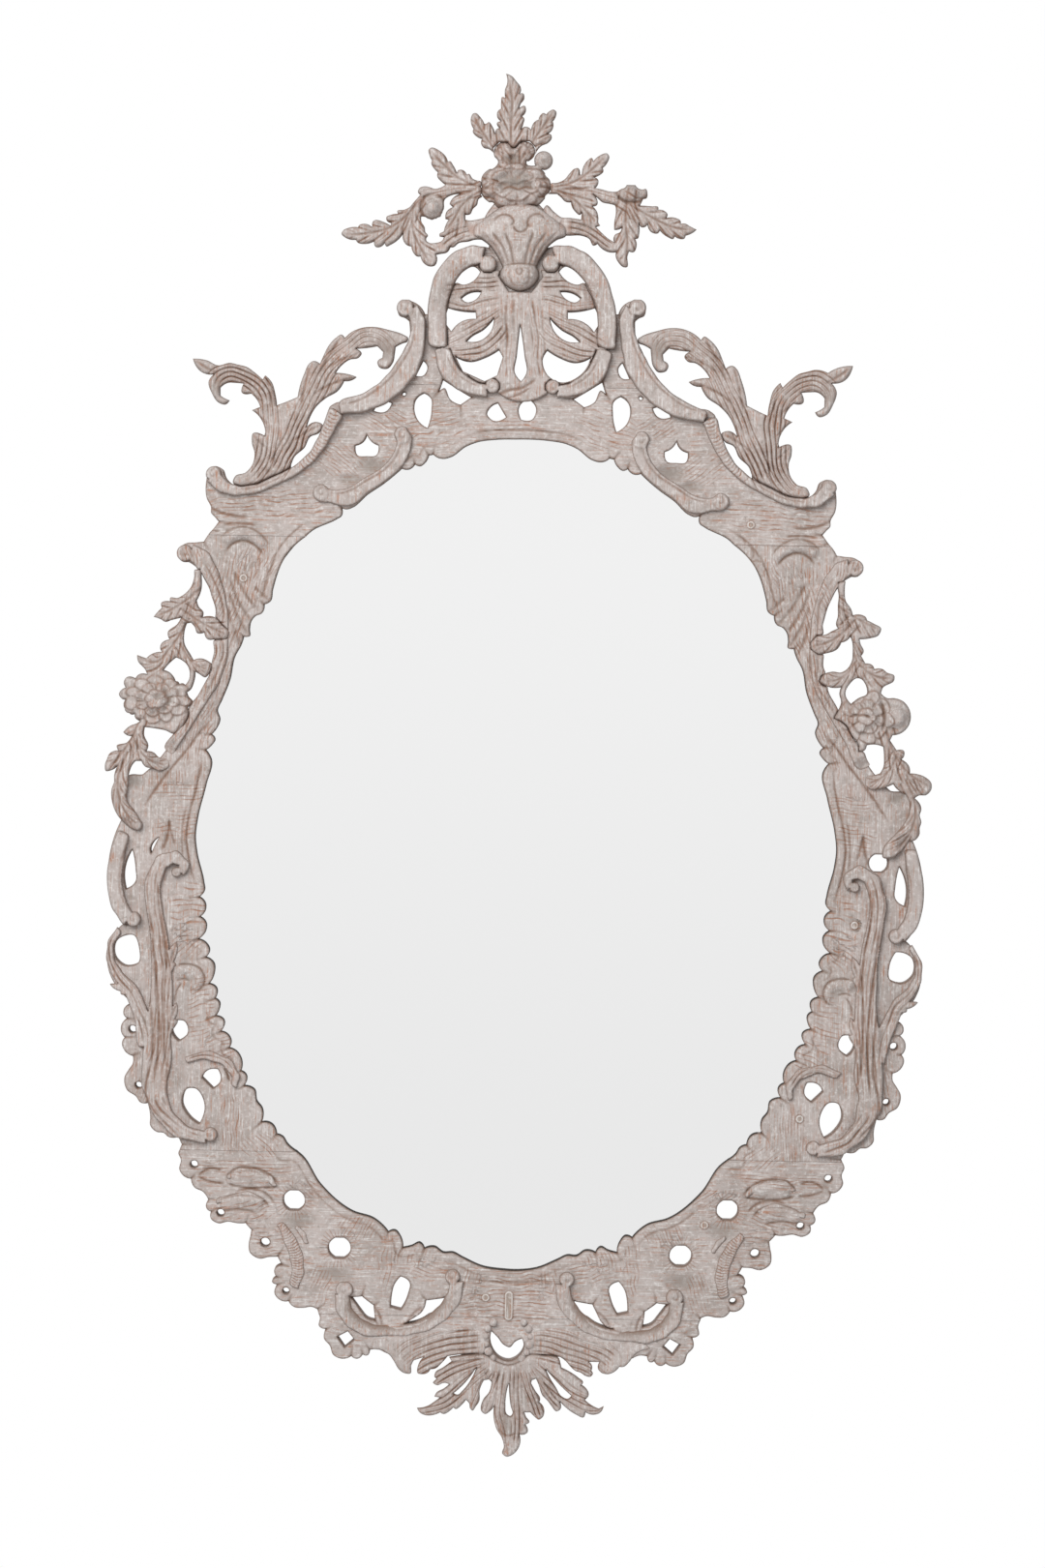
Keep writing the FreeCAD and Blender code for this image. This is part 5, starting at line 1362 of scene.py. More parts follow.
    def sight_distance(self, places: np.ndarray) -> np.ndarray:
        """Distance of each place from the sight edge."""
        every = np.vstack(self.outline.loops)
        every = every[before_plate(every)]
        return gaps_to(every, places) if len(every) else np.full(len(places), self.NO_SIGHT)

    def rear_of(self, places: np.ndarray) -> np.ndarray:
        """Depth of the back at each place."""
        if self.layer is Layer.CARVING:
            return np.full(len(places), self.BACK)
        within = ((places / REBATE_HALF) ** 2).sum(1) < 1
        return np.where(within, self.REBATE, self.REAR)

    def walled(self, face: Face, faces: list, rings: list) -> bpy.types.Object:
        """Close the face with walls and a back.

        Args:
            face: The carved face.
            faces: Its triangles.
            rings: Its outline as numbers of its points.

        Returns:
            The finished piece.
        """
        level = self.BACK if self.layer is Layer.CARVING else self.FRONT
        front = at_depth(face.places, level - face.rise)
        loops = [face.places[ring] for ring in rings]
        loose = np.zeros((0, 2))
        if self.layer is Layer.BOARD:
            angles = np.linspace(0, 2 * math.pi, self.REBATE_SIDES, endpoint=False)
            oval = np.column_stack([np.cos(angles), np.sin(angles)])
            sides = (-self.REBATE_GAP, self.REBATE_GAP)
            loose = np.vstack([oval * (REBATE_HALF + side) for side in sides])
            loose = loose[self.outline.inside(loose)]
        spots, back_faces, back_rings = triangulated(loops, loose)
        back_faces = self.outline.filled(spots, back_faces, back_rings)
        back = at_depth(spots, self.rear_of(spots))
        base = len(front)
        every = list(faces) + [tuple(base + index for index in reversed(f)) for f in back_faces]
        chosen = [0] * len(every)
        seen = before_plate(face.places)
        for ring, other in zip(rings, back_rings):
            for index in range(len(ring)):
                one, two = ring[index - 1], ring[index]
                every.append((two, one, base + other[index - 1], base + other[index]))
                chosen.append(int(self.layer is Layer.BOARD and seen[two]))
        finishes = [self.finish, REVEAL] if self.layer is Layer.BOARD else [self.finish]
        made = piece_of("look_" + self.node, np.vstack([front, back]), every, finishes, chosen)
        rest = np.zeros(len(back))
        for name in MARKS:
            values = made.data.attributes.new(name, "FLOAT", "POINT")
            values.data.foreach_set("value", np.concatenate([getattr(face, name), rest]).astype(np.float32))
        return made


@dataclass
class Vase(Relief):
    """Flared vase of the crest, round in front, with a bud for its foot."""

    # Height, half width, rise on the axis and rise at the side, from the foot up
    STATIONS = (
        (682, 4, 14, 4), (685, 12, 22, 4), (691, 19, 29, 5), (699, 23.5, 32.5, 6), (706, 23, 30, 6),
        (710, 21, 25, 6), (716, 23, 25, 8), (725, 28, 27, 10), (735, 35, 29, 12), (743, 45, 30, 14),
        (748, 56, 31, 15), (757, 56, 31, 15), (767, 44, 29, 14), (777, 31, 24, 12), (784, 20, 18, 8),
        (786, 8, 14, 6),
    )
    AXIS = 1.0

    def read_outline(self) -> Outline:
        """Outline through the stations, the same on both sides of the axis."""
        right = [(self.AXIS + half, height) for height, half, _, _ in self.STATIONS]
        left = [(self.AXIS - half, height) for height, half, _, _ in reversed(self.STATIONS)]
        return Outline([hermite(DRAWING.placed(Hand.ALONE, right + left)[0], True, self.step)], [])

    def rough(self, places: np.ndarray, pairs: np.ndarray) -> np.ndarray:
        """Height of the turned form at each place."""
        heights, halves, crests, sides = np.array(self.STATIONS, float).T
        ends = [(self.AXIS, heights[0]), (self.AXIS, heights[-1])]
        foot, head = DRAWING.placed(Hand.ALONE, ends)[0]
        length = np.linalg.norm(head - foot)
        upward = (head - foot) / length
        offset = places - foot
        level = heights[0] + offset @ upward / length * (heights[-1] - heights[0])
        across = np.abs(offset[:, 0] * upward[1] - offset[:, 1] * upward[0])
        share = np.clip(across / np.interp(level, heights, halves), 0, 1)
        side = np.interp(level, heights, sides)
        return eased(side + (np.interp(level, heights, crests) - side) * np.sqrt(1 - share ** 2), pairs, 3)


# Radius of the rounded edge of a carving, and the share of its height that is left there
BEVELS = {Profile.BAND: (3.4, 0.5), Profile.SHEET: (4.5, 0.55), Profile.ROUND: (3.0, 0.4)}
PLUGS = clusters_of("face_plugs")
PLATE_LOW, PLATE_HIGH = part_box("mirror_plate")
PLATE_HALF = np.array([PLATE_HIGH.x - PLATE_LOW.x, PLATE_HIGH.z - PLATE_LOW.z]) / 2 / MM
REBATE_HALF = PLATE_HALF + 2.0
# Edges within this share of the plate's oval belong to the sight
SIGHT_SHARE = 0.985
JOINT_LEVELS = np.array([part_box("crest_board")[0].z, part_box("left_stile")[1].z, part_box("left_stile")[0].z,
                         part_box("apron_board")[1].z]) / MM
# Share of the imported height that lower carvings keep
LOWERED = {
    "stile_rib": 0.65, "stile_acanthus": 0.7, "rocaille_plumes": 0.6, "apron_scroll": 0.6,
    "apron_shell": 0.75, "pendant_spray": 0.85, "ear_scroll": 0.8,
}


def before_plate(places: np.ndarray) -> np.ndarray:
    """Whether each place lies in front of the plate, within the sight."""
    return ((places / PLATE_HALF) ** 2).sum(1) < SIGHT_SHARE


@dataclass(frozen=True)
class Plugs:
    """Plugs let into the face over fixings: shallow dishes with a pale rim, the dish, slope and walls in a
    darker finish of painted shade and dirt.
    """

    node: str = "face_plugs"
    body: str = "frame"
    finish: Finish = Finish("limed_plug", "plug_wood", Grain.UPRIGHT, wash=(0.66, 0.61, 0.575), mottle=0.2)
    # Darker finish of the dish, slope and walls: painted shade and dirt
    dish_dirt_and_shade: Finish = Finish(
        "limed_plug_dish_dirt_and_shade", "plug_wood", Grain.UPRIGHT, wash=(0.40, 0.325, 0.280), mottle=0.3,
    )
    face: float = -33.0
    foot: float = -26.0
    proud: float = 1.1
    rim: float = 1.9
    bevel: float = 0.3
    slope: float = 0.5
    sunk: float = 0.6
    sides: int = 28

    def ring(self, centre: np.ndarray, half: np.ndarray, inset: float, level: float) -> np.ndarray:
        """Round-ended ring drawn in from the edge of a plug.

        Args:
            centre: Middle of the plug.
            half: Half its width and height.
            inset: How far the ring lies inside the edge.
            level: Depth of the ring.

        Returns:
            Rows of x, y and z.
        """
        angles = np.linspace(0, 2 * math.pi, self.sides, endpoint=False)
        spread = np.column_stack([np.cos(angles), np.sin(angles)])
        flat = centre + spread * (half.min() - inset) + np.sign(np.round(spread, 6)) * (half - half.min())
        return at_depth(flat, level)

    def build(self) -> bpy.types.Object:
        """Make the plugs as one piece."""
        points = []
        faces = []
        chosen = []
        top = self.face - self.proud
        profile = (
            (0.0, self.foot), (0.0, top + self.bevel), (self.bevel, top), (self.rim, top),
            (self.rim + self.slope, top + self.sunk),
        )
        for centre, half in PLUGS:
            base = len(points)
            for inset, level in profile:
                points += list(self.ring(centre, half, inset, level))
            for row in range(len(profile) - 1):
                for index in range(self.sides):
                    after = (index + 1) % self.sides
                    low, high = base + row * self.sides, base + (row + 1) * self.sides
                    faces.append((low + index, low + after, high + after, high + index))
                    # Bevel and rim take the pale finish; walls, slope and dish take the darker one of painted
                    # shade and dirt
                    chosen.append(0 if row in (1, 2) else 1)
            last = base + (len(profile) - 1) * self.sides
            faces.append(tuple(range(last, last + self.sides)))
            faces.append(tuple(reversed(range(base, base + self.sides))))
            chosen += [1, 1]
        made = piece_of("look_" + self.node, np.array(points), faces, [self.finish, self.dish_dirt_and_shade], chosen)
        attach(made, self.body)
        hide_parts(self.node)
        LOG.info("%s: %d faces", self.node, len(faces))
        return made


def swept_group() -> bpy.types.NodeTree:
    """Geometry nodes that draw a round wire along a path."""
    taken = {"Path": "Geometry", "Gauge": "Float", "Sides": "Int", "Finish": "Material"}
    made = Tree.group("swept_wire", "GeometryNodeTree", taken, {"Wire": "Geometry"})
    given = made.node("NodeGroupInput").outputs
    line = made.node("GeometryNodeMeshToCurve", {"Mesh": given["Path"]}).outputs["Curve"]
    round_wire = {"Radius": given["Gauge"], "Resolution": given["Sides"]}
    section = made.node("GeometryNodeCurvePrimitiveCircle", round_wire).outputs["Curve"]
    swept = made.node("GeometryNodeCurveToMesh", {"Curve": line, "Profile Curve": section})
    return finished_group(made, swept.outputs["Mesh"], given["Finish"], "Wire")


BEAD_SEGMENTS, BEAD_RINGS = 20, 12
BEAD_LEAST, BEAD_MOST = 0.8, 1.15


def beaded_group() -> bpy.types.NodeTree:
    """Geometry nodes that set beads of uneven size along a path."""
    taken = {"Path": "Geometry", "Spacing": "Float", "Radius": "Float", "Seed": "Int", "Finish": "Material"}
    made = Tree.group("carved_beads", "GeometryNodeTree", taken, {"Beads": "Geometry"})
    given = made.node("NodeGroupInput").outputs
    line = made.node("GeometryNodeMeshToCurve", {"Mesh": given["Path"]}).outputs["Curve"]
    spaced = {"Curve": line, "Length": given["Spacing"]}
    spots = made.node("GeometryNodeResampleCurve", spaced, mode="LENGTH").outputs["Curve"]
    ball = {"Segments": BEAD_SEGMENTS, "Rings": BEAD_RINGS, "Radius": given["Radius"]}
    bead = made.node("GeometryNodeMeshUVSphere", ball).outputs["Mesh"]
    uneven = {2: BEAD_LEAST, 3: BEAD_MOST, "Seed": given["Seed"]}
    size = made.node("FunctionNodeRandomValue", uneven, data_type="FLOAT").outputs[1]
    placed = made.node("GeometryNodeInstanceOnPoints", {"Points": spots, "Instance": bead, "Scale": size})
    return finished_group(made, placed.outputs["Instances"], given["Finish"], "Beads")


def finished_group(made: Tree, source: object, finish: object, label: str) -> bpy.types.NodeTree:
    """End a geometry node tree: real, smooth and dressed.

    Args:
        made: The tree so far.
        source: Socket that gives what it has made.
        finish: Socket that gives the material.
        label: Name of the output.

    Returns:
        The whole node tree.
    """
    for kind in ("GeometryNodeRealizeInstances", "GeometryNodeSetShadeSmooth"):
        source = made.node(kind, {"Geometry": source}).outputs["Geometry"]
    dressed = made.node("GeometryNodeSetMaterial", {"Geometry": source, "Material": finish})
    made.node("NodeGroupOutput", {label: dressed.outputs["Geometry"]})
    return made.tree


def along_path(
    name: str, paths: list, closed: bool, group: bpy.types.NodeTree, given: dict,
) -> bpy.types.Object:
    """Piece that a geometry node tree makes along paths.

    Args:
        name: Name of the piece.
        paths: Arrays of x, y and z in millimetres.
        closed: Whether each path runs back to its start.
        group: The node tree.
        given: Values of its named inputs.

    Returns:
        The new object, with a plain mesh.
    """
    edges = []
    base = 0
    for points in paths:
        count = len(points)
        last = count if closed else count - 1
        edges += [(base + index, base + (index + 1) % count) for index in range(last)]
        base += count
    mesh = bpy.data.meshes.new(name + "_path")
    mesh.from_pydata((np.vstack(paths) * MM).tolist(), edges, [])
    made = linked(name, mesh)
    modifier = made.modifiers.new("grown", "NODES")
    modifier.node_group = group
    for item in group.interface.items_tree:
        if item.in_out == "INPUT" and item.name in given:
            modifier[item.identifier] = given[item.name]
    grown = bpy.data.meshes.new_from_object(made.evaluated_get(bpy.context.evaluated_depsgraph_get()))
    made.modifiers.remove(modifier)
    made.data = grown
    return made


@dataclass(frozen=True)
class WireRing:
    """D ring of a hanger, bent from round wire."""

    node: str
    body: str
    finish: Plain
    sides: int = 16
    corner_steps: int = 6
    bow_steps: int = 32

    def path(self) -> tuple:
        """Middle line of the wire and its radius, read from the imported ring."""
        low, high = (np.array(corner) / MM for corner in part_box(self.node))
        gauge = (high[1] - low[1]) / 2
        half = (high[0] - low[0]) / 2 - gauge
        corner = high[2] - low[2] - 2 * gauge - half
        middle = np.array([(low[0] + high[0]) / 2, low[2] + gauge + corner])
        bends = (
            (half - corner, corner, -90, 0, self.corner_steps),
            (0.0, half, 0, 180, self.bow_steps),
            (corner - half, corner, 180, 270, self.corner_steps),
        )
        points = []
        for shift, radius, start, stop, steps in bends:
            for angle in np.radians(np.linspace(start, stop, steps + 1)):
                points.append(middle + (shift + radius * math.cos(angle), radius * math.sin(angle)))
        flat = np.array(points)
        kept = np.linalg.norm(flat - np.roll(flat, 1, 0), axis=1) > 0.01
        return at_depth(flat[kept], (low[1] + high[1]) / 2), gauge

    def build(self) -> bpy.types.Object:
        """Bend the ring and let it ride on its body."""
        points, gauge = self.path()
        made = along_path("look_" + self.node, [points], True, swept_group(), {
            "Gauge": gauge * MM, "Sides": self.sides, "Finish": material_of(self.finish),
        })
        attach(made, self.body)
        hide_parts(self.node)
        LOG.info("%s: %d faces", self.node, len(made.data.polygons))
        return made


@dataclass(frozen=True)
class Beads:
    """Beads carved round the crescent opening of the apron."""

    paths: tuple
    body: str = "frame"
    spacing: float = 8.4
    radius: float = 4.6
    level: float = -38.5
    seed: int = 7

    def build(self) -> bpy.types.Object:
        """Set the beads and let them ride on the frame."""
        lines = []
        for drawn in self.paths:
            flat = hermite(DRAWING.placed(Hand.ALONE, drawn)[0], False, 1.0)
            lines.append(at_depth(flat, self.level))
        made = along_path("look_apron_beads", lines, False, beaded_group(), {
            "Spacing": self.spacing * MM, "Radius": self.radius * MM, "Seed": self.seed,
            "Finish": material_of(CARVED_FINISH),
        })
        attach(made, self.body)
        LOG.info("apron beads: %d faces", len(made.data.polygons))
        return made


@dataclass(frozen=True)
class Studio:
    """Camera, lights, floor and background."""

    # In millimetres, apart from the roll in degrees and the end of the view in metres
    target: tuple = (6.5, -33.0, 87.3)
    frame_height: float = 1896.6
    distance: float = 6500.0
    camera_rise: float = 213.0
    roll: float = 1.1
    sensor: float = 36.0
    view_end: float = 50.0
    floor_level: float = -1300.0
    floor_half: float = 1400.0
    # In watts and metres, and the strengths of the even light on wood and in the plate
    key_power: float = 150.0
    key_size: tuple = (2.6, 2.2)
    key_place: tuple = (-1.3, -3.9, 1.9)
    key_aim: tuple = (0, 0, 0.1)
    even_light: float = 0.42
    glossy_light: float = 0.9

    def build(self) -> None:
        """Set the studio up."""
        self.camera()
        self.lights()
        self.world()
        self.floor()

    def camera(self) -> None:
        """Camera a little above the middle of the mirror, turned as the drawing leans."""
        target = Vector(self.target) * MM
        back = math.sqrt(self.distance ** 2 - self.camera_rise ** 2)
        eye = target + Vector((0, -back, self.camera_rise)) * MM
        data = bpy.data.cameras.new("camera")
        data.sensor_fit = "VERTICAL"
        data.sensor_height = self.sensor
        data.lens = self.sensor * self.distance / self.frame_height
        data.clip_end = self.view_end
        made = linked("camera", data)
        made.location = eye
        made.rotation_euler = (target - eye).to_track_quat("-Z", "Y").to_euler()
        made.rotation_euler.rotate_axis("Z", math.radians(self.roll))
        bpy.context.scene.camera = made

    def lights(self) -> None:
        """One broad soft light from the front and above."""
        data = bpy.data.lights.new("key", "AREA")
        data.shape = "RECTANGLE"
        data.size, data.size_y = self.key_size
        data.energy = self.key_power
        made = linked("key", data)
        made.location = self.key_place
        aim = Vector(self.key_aim) - Vector(self.key_place)
        made.rotation_euler = aim.to_track_quat("-Z", "Y").to_euler()
        made.visible_glossy = False
        made.visible_camera = False

    def world(self) -> None:
        """White behind, and a weaker even light on the piece."""
        made = bpy.data.worlds.new("studio")
        made.use_nodes = True
        bpy.context.scene.world = made
        tree = Tree(made.node_tree)
        made.node_tree.nodes.clear()
        path = tree.node("ShaderNodeLightPath").outputs
        seen = tree.sum("MAXIMUM", path["Is Camera Ray"], path["Is Transmission Ray"])
        shiny = tree.sum("MULTIPLY", path["Is Glossy Ray"], self.glossy_light)
        strength = tree.sum("MAXIMUM", tree.sum("MAXIMUM", seen, shiny), self.even_light)
        light = tree.node("ShaderNodeBackground", {"Color": (1, 1, 1, 1), "Strength": strength})
        tree.node("ShaderNodeOutputWorld", {"Surface": light.outputs[0]})

    def floor(self) -> None:
        """Pale floor well below the hanging piece."""
        spread = ((-1, -1), (1, -1), (1, 1), (-1, 1))
        corners = np.array([(x * self.floor_half, y * self.floor_half, self.floor_level) for x, y in spread])
        made = piece_of("floor", corners, [(0, 1, 2, 3)], [Plain("pale_floor", (0.8, 0.8, 0.8), 0.9)])


RAILS = ("crest_board", "top_rail", "bottom_rail", "apron_board")
STILES = ("left_stile", "right_stile")
CARVED = {
    Profile.BAND: (
        "crest_scroll_left", "crest_scroll_right", "shoulder_scroll_left", "shoulder_scroll_right",
        "ear_scroll_left", "ear_scroll_right", "stile_rib_left", "stile_rib_right", "side_scroll_left",
        "side_scroll_right", "stile_acanthus_left", "stile_acanthus_right", "rocaille_plumes_left",
        "rocaille_plumes_right", "apron_scroll_left", "apron_scroll_right", "crest_shell",
    ),
    Profile.SHEET: (
        "crest_top_leaves", "crest_spray_left", "crest_spray_right", "shoulder_spray_left",
        "shoulder_spray_right", "flower_trail_left", "flower_trail_right", "apron_shell", "pendant_spray",
    ),
    Profile.ROUND: ("crest_rose",),
}
ALONE = Hand.ALONE
# Distance between the points of a face
BOARD_STEP = 1.7
CARVING_STEP = 1.3
BEAD_LINES = (
    ((-31, -566), (-38, -574), (-40, -586), (-38, -598), (-31, -609)),
    ((6, -566), (13, -576), (14, -588), (11, -600), (4, -610)),
)


def alike(kind: type, numbers: tuple, *lines: tuple) -> list:
    """Cuts of one kind with the same numbers, one along each line."""
    return [kind(line, *numbers) for line in lines]


# Cuts in the ground of the boards
BOARD_CUTS = [
    Groove(((-378, 352), (-366, 338), (-355, 318), (-349, 296), (-348, 270), (-350, 246), (-358, 218),
            (-371, 194), (-388, 167), (-408, 140)), 24, -4.0, 0.0),
    Groove(((-424, -30), (-424, -62), (-418, -100), (-414, -150), (-416, -200), (-420, -245), (-422, -280),
            (-412, -305), (-396, -322)), 22, -4.0, 0.0),
    Groove(((-290, -446), (-279, -462), (-270, -482), (-267, -504), (-272, -522)), 34, -3.0, 0.0),
    Groove(((-350, -392), (-338, -389), (-320, -389), (-300, -396)), 22, -5.0, 0.0),
    Groove(((-362, -424), (-346, -419), (-325, -417), (-309, -423)), 20, -4.5, 0.0),
    Groove(((-355, -394), (-346, -381), (-327, -378), (-306, -384), (-291, -399)), 2.8, 2.2, 0.9),
    Groove(((-354, -397), (-335, -402), (-312, -403), (-291, -401)), 2.8, 2.0, 0.8),
    Groove(((-388, -388), (-376, -380), (-360, -382)), 2.8, 1.8, 0.9),
    Groove(((-388, -389), (-374, -395), (-358, -397)), 2.8, 1.8, 0.9),
    Groove(((-366, -423), (-351, -413), (-334, -410), (-316, -413), (-303, -425)), 2.8, 2.2, 0.9),
    Groove(((-342, -407), (-324, -404), (-309, -408), (-297, -420)), 2.8, 1.8, 0.9),
    Groove(((-360, -431), (-340, -429), (-318, -433)), 2.6, 1.6, 0.8),
    Groove(((-222, -530), (-220, -555), (-204, -576), (-160, -588), (-100, -578), (-74, -550),
            (-65, -516)), 30, -4.5, 0.0),
    Groove(((-44, -600), (-42, -582), (-60, -568), (-110, -572), (-160, -584)), 30, -6.0, 0.0, ALONE),
    Groove(((16, -600), (15, -582), (34, -568), (84, -574), (130, -588)), 30, -6.0, 0.0, ALONE),
    Groove(((-40, -604), (-26, -612), (-12, -616), (2, -612), (12, -604)), 14, -5.0, 0.0, ALONE),
    Groove(((-149, 513), (-146, 499), (-151, 485), (-163, 468), (-187, 454), (-208, 441), (-227, 440)),
            26, -3.0, 0.0),
    Groove(((-240, 510), (-256, 478), (-296, 448), (-331, 436), (-352, 440)), 30, -4.0, 0.0),
    Hatch((-300, 424), (64, 18), 4, 5.4, 1.0),
    Hatch((-215, 478), (26, 18), -38, 4.2),
    Hollow((-176, 470), (26, 15), 4.5, 0.9),
    Hollow((-200, 455), (22, 9), 3.5, 0.8),
    Groove(((-166, 468), (-165, 458), (-163, 449)), 1.4, 2.0, 0.9, ALONE),
    Groove(((-356, 378), (-344, 387), (-331, 389), (-317, 384), (-306, 372)), 12.0, -6.0, 0.0),
    Hatch((-335, 332), (30, 32), 80, 4.4, 1.0),
    Hatch((-342, 285), (13, 34), 72, 4.4, 1.0),
    Groove(((-353, 369), (-344, 378), (-331, 381), (-319, 376), (-309, 365)), 2.8, 2.0, 0.9),
    Groove(((-359, 386), (-345, 396), (-331, 398), (-314, 391), (-302, 377)), 2.4, 1.2, 0.7),
    Groove(((-355, 401), (-338, 402), (-318, 400)), 3.0, 1.4, 0.9),
    Groove(((-328, 411), (-352, 413), (-373, 422)), 3.4, 1.8, 0.8),
    Groove(((-362, 392), (-370, 394), (-378, 400)), 3.2, 1.8, 0.8),
    *alike(Groove, (4.0, 1.8, 0.5), ((-300, 308), (-310, 317), (-319, 326)),
           ((-311, 293), (-328, 314), (-344, 346)),
           ((-323, 284), (-336, 304), (-348, 334)),
           ((-325, 266), (-339, 290), (-349, 320)),
           ((-335, 256), (-344, 276), (-350, 300))),
    Groove(((-258, 402), (-289, 372), (-306, 325), (-311, 312)), 2.6, 1.3, 0.7),
    Hatch((-318, 352), (24, 20), 62, 4.4),
    Groove(((-374, 162), (-385, 150), (-400, 130), (-425, 100), (-452, 62)), 3.2, 1.5, 0.8),
    Hatch((-400, 142), (20, 26), 82, 3.2),
    Hatch((-360, 225), (11, 34), 76, 3.6),
    Hatch((-376, 166), (12, 22), 60, 4.0),
    Hatch((-405, 78), (34, 12), 3, 4.2),
    Hatch((-412, 40), (24, 20), 4, 5.0),
    Hatch((-420, 96), (22, 10), 88, 3.4),
    Groove(((-384, 118), (-389, 86), (-399, 47), (-402, 23), (-400, 3), (-392, -32)), 2.6, 1.4, 0.9),
    Groove(((-402, 60), (-407, 30), (-406, 0)), 2.0, 0.9, 0.8),
    Hollow((-463, 90), (13, 11), 3.0, 0.9),
    Groove(((-431, 8), (-425, 24), (-423, 44)), 4.0, 2.0, 0.9),
    Groove(((-416, 14), (-420, 28), (-423, 44)), 3.0, 1.6, 0.7),
    # Crack, its blackness painted as shade and dirt
    Groove(((-357, -257), (-353, -264), (-351, -273)), 2.2, 3.0, 1.0, ALONE, 1.0),
    Hollow((-268, -443), (27, 14), 1.5, 0.8),
    Hollow((-222, -508), (30, 13), 1.5, 0.7),
    Hatch((-398, -68), (22, 36), 3, 7.0, 1.0),
    Hatch((-400, -100), (18, 24), 40, 5.0),
    Groove(((-416, -140), (-403, -138), (-390, -143), (-387, -152), (-391, -157)), 11.0, -3.5, 0.0),
    Groove(((-416, -133), (-400, -131), (-385, -137), (-380, -150), (-385, -161), (-394, -163)),
            2.4, 1.8, 0.8),
    Groove(((-414, -151), (-405, -149), (-398, -151)), 2.4, 1.5, 0.7),
    Groove(((-416, -176), (-414, -164), (-408, -154)), 2.6, 1.6, 0.7),
    Hatch((-385, -188), (15, 40), 12, 5.6),
    Hatch((-362, -232), (16, 22), 20, 5.0),
    Hatch((-455, -250), (12, 46), 78, 4.0),
    Hatch((-348, -325), (14, 32), 88, 3.4, 1.0),
    Hatch((-333, -379), (56, 9), 2, 4.0, 1.0),
    Hatch((-312, -352), (22, 14), -42, 4.4),
    Hatch((-250, -405), (36, 10), -36, 4.0),
    Rays((-272, -418), (24, 24), 30, 0.2, 0.55, 0.0, 0.5),
    Rays((-217, -476), (25, 25), 30, 0.2, 0.55, 0.0, 0.5),
    Hollow((-143, -532), (26, 34), 2.5, 0.4),
    Groove(((-190, -540), (-172, -552), (-166, -572)), 3.0, 1.6, 0.6),
    Groove(((-116, -548), (-128, -556), (-136, -572)), 3.0, 1.6, 0.6),
    Hatch((-196, -452), (24, 13), 62, 4.2),
    Hatch((-128, -488), (26, 12), 76, 4.4),
    Hatch((-60, -520), (14, 20), 84, 4.6),
    Hatch((-300, -470), (20, 22), 2, 4.6),
    Hatch((-318, -455), (24, 16), -4, 5.0),
    Hatch((-160, -490), (10, 34), 84, 4.6),
    Hatch((-110, -500), (28, 12), -16, 4.4),
    Hatch((-12, -538), (56, 33), 0, 4.7, 1.0, ALONE),
    Groove(((-60, -513), (-30, -517), (0, -518), (34, -515)), 2.6, 1.2, 0.7, ALONE),
    Hatch((-240, -520), (14, 24), 70, 4.0),
    Hatch((-330, -430), (36, 14), 18, 5.0),
    Hatch((-100, 520), (34, 24), 20, 5.4),
    Hatch((-20, 520), (40, 10), 0, 5.0, 0.7, ALONE),
    Hatch((-160, 525), (26, 14), -30, 4.6),
    Groove(((-52, 512), (-20, 515), (10, 515), (44, 511)), 2.4, 1.0, 0.6, ALONE),
]

# Height and half width of the vase where its flutes run
VASE_SIDES = ((712, 21.5), (725, 28), (735, 35), (743, 45), (751, 54))

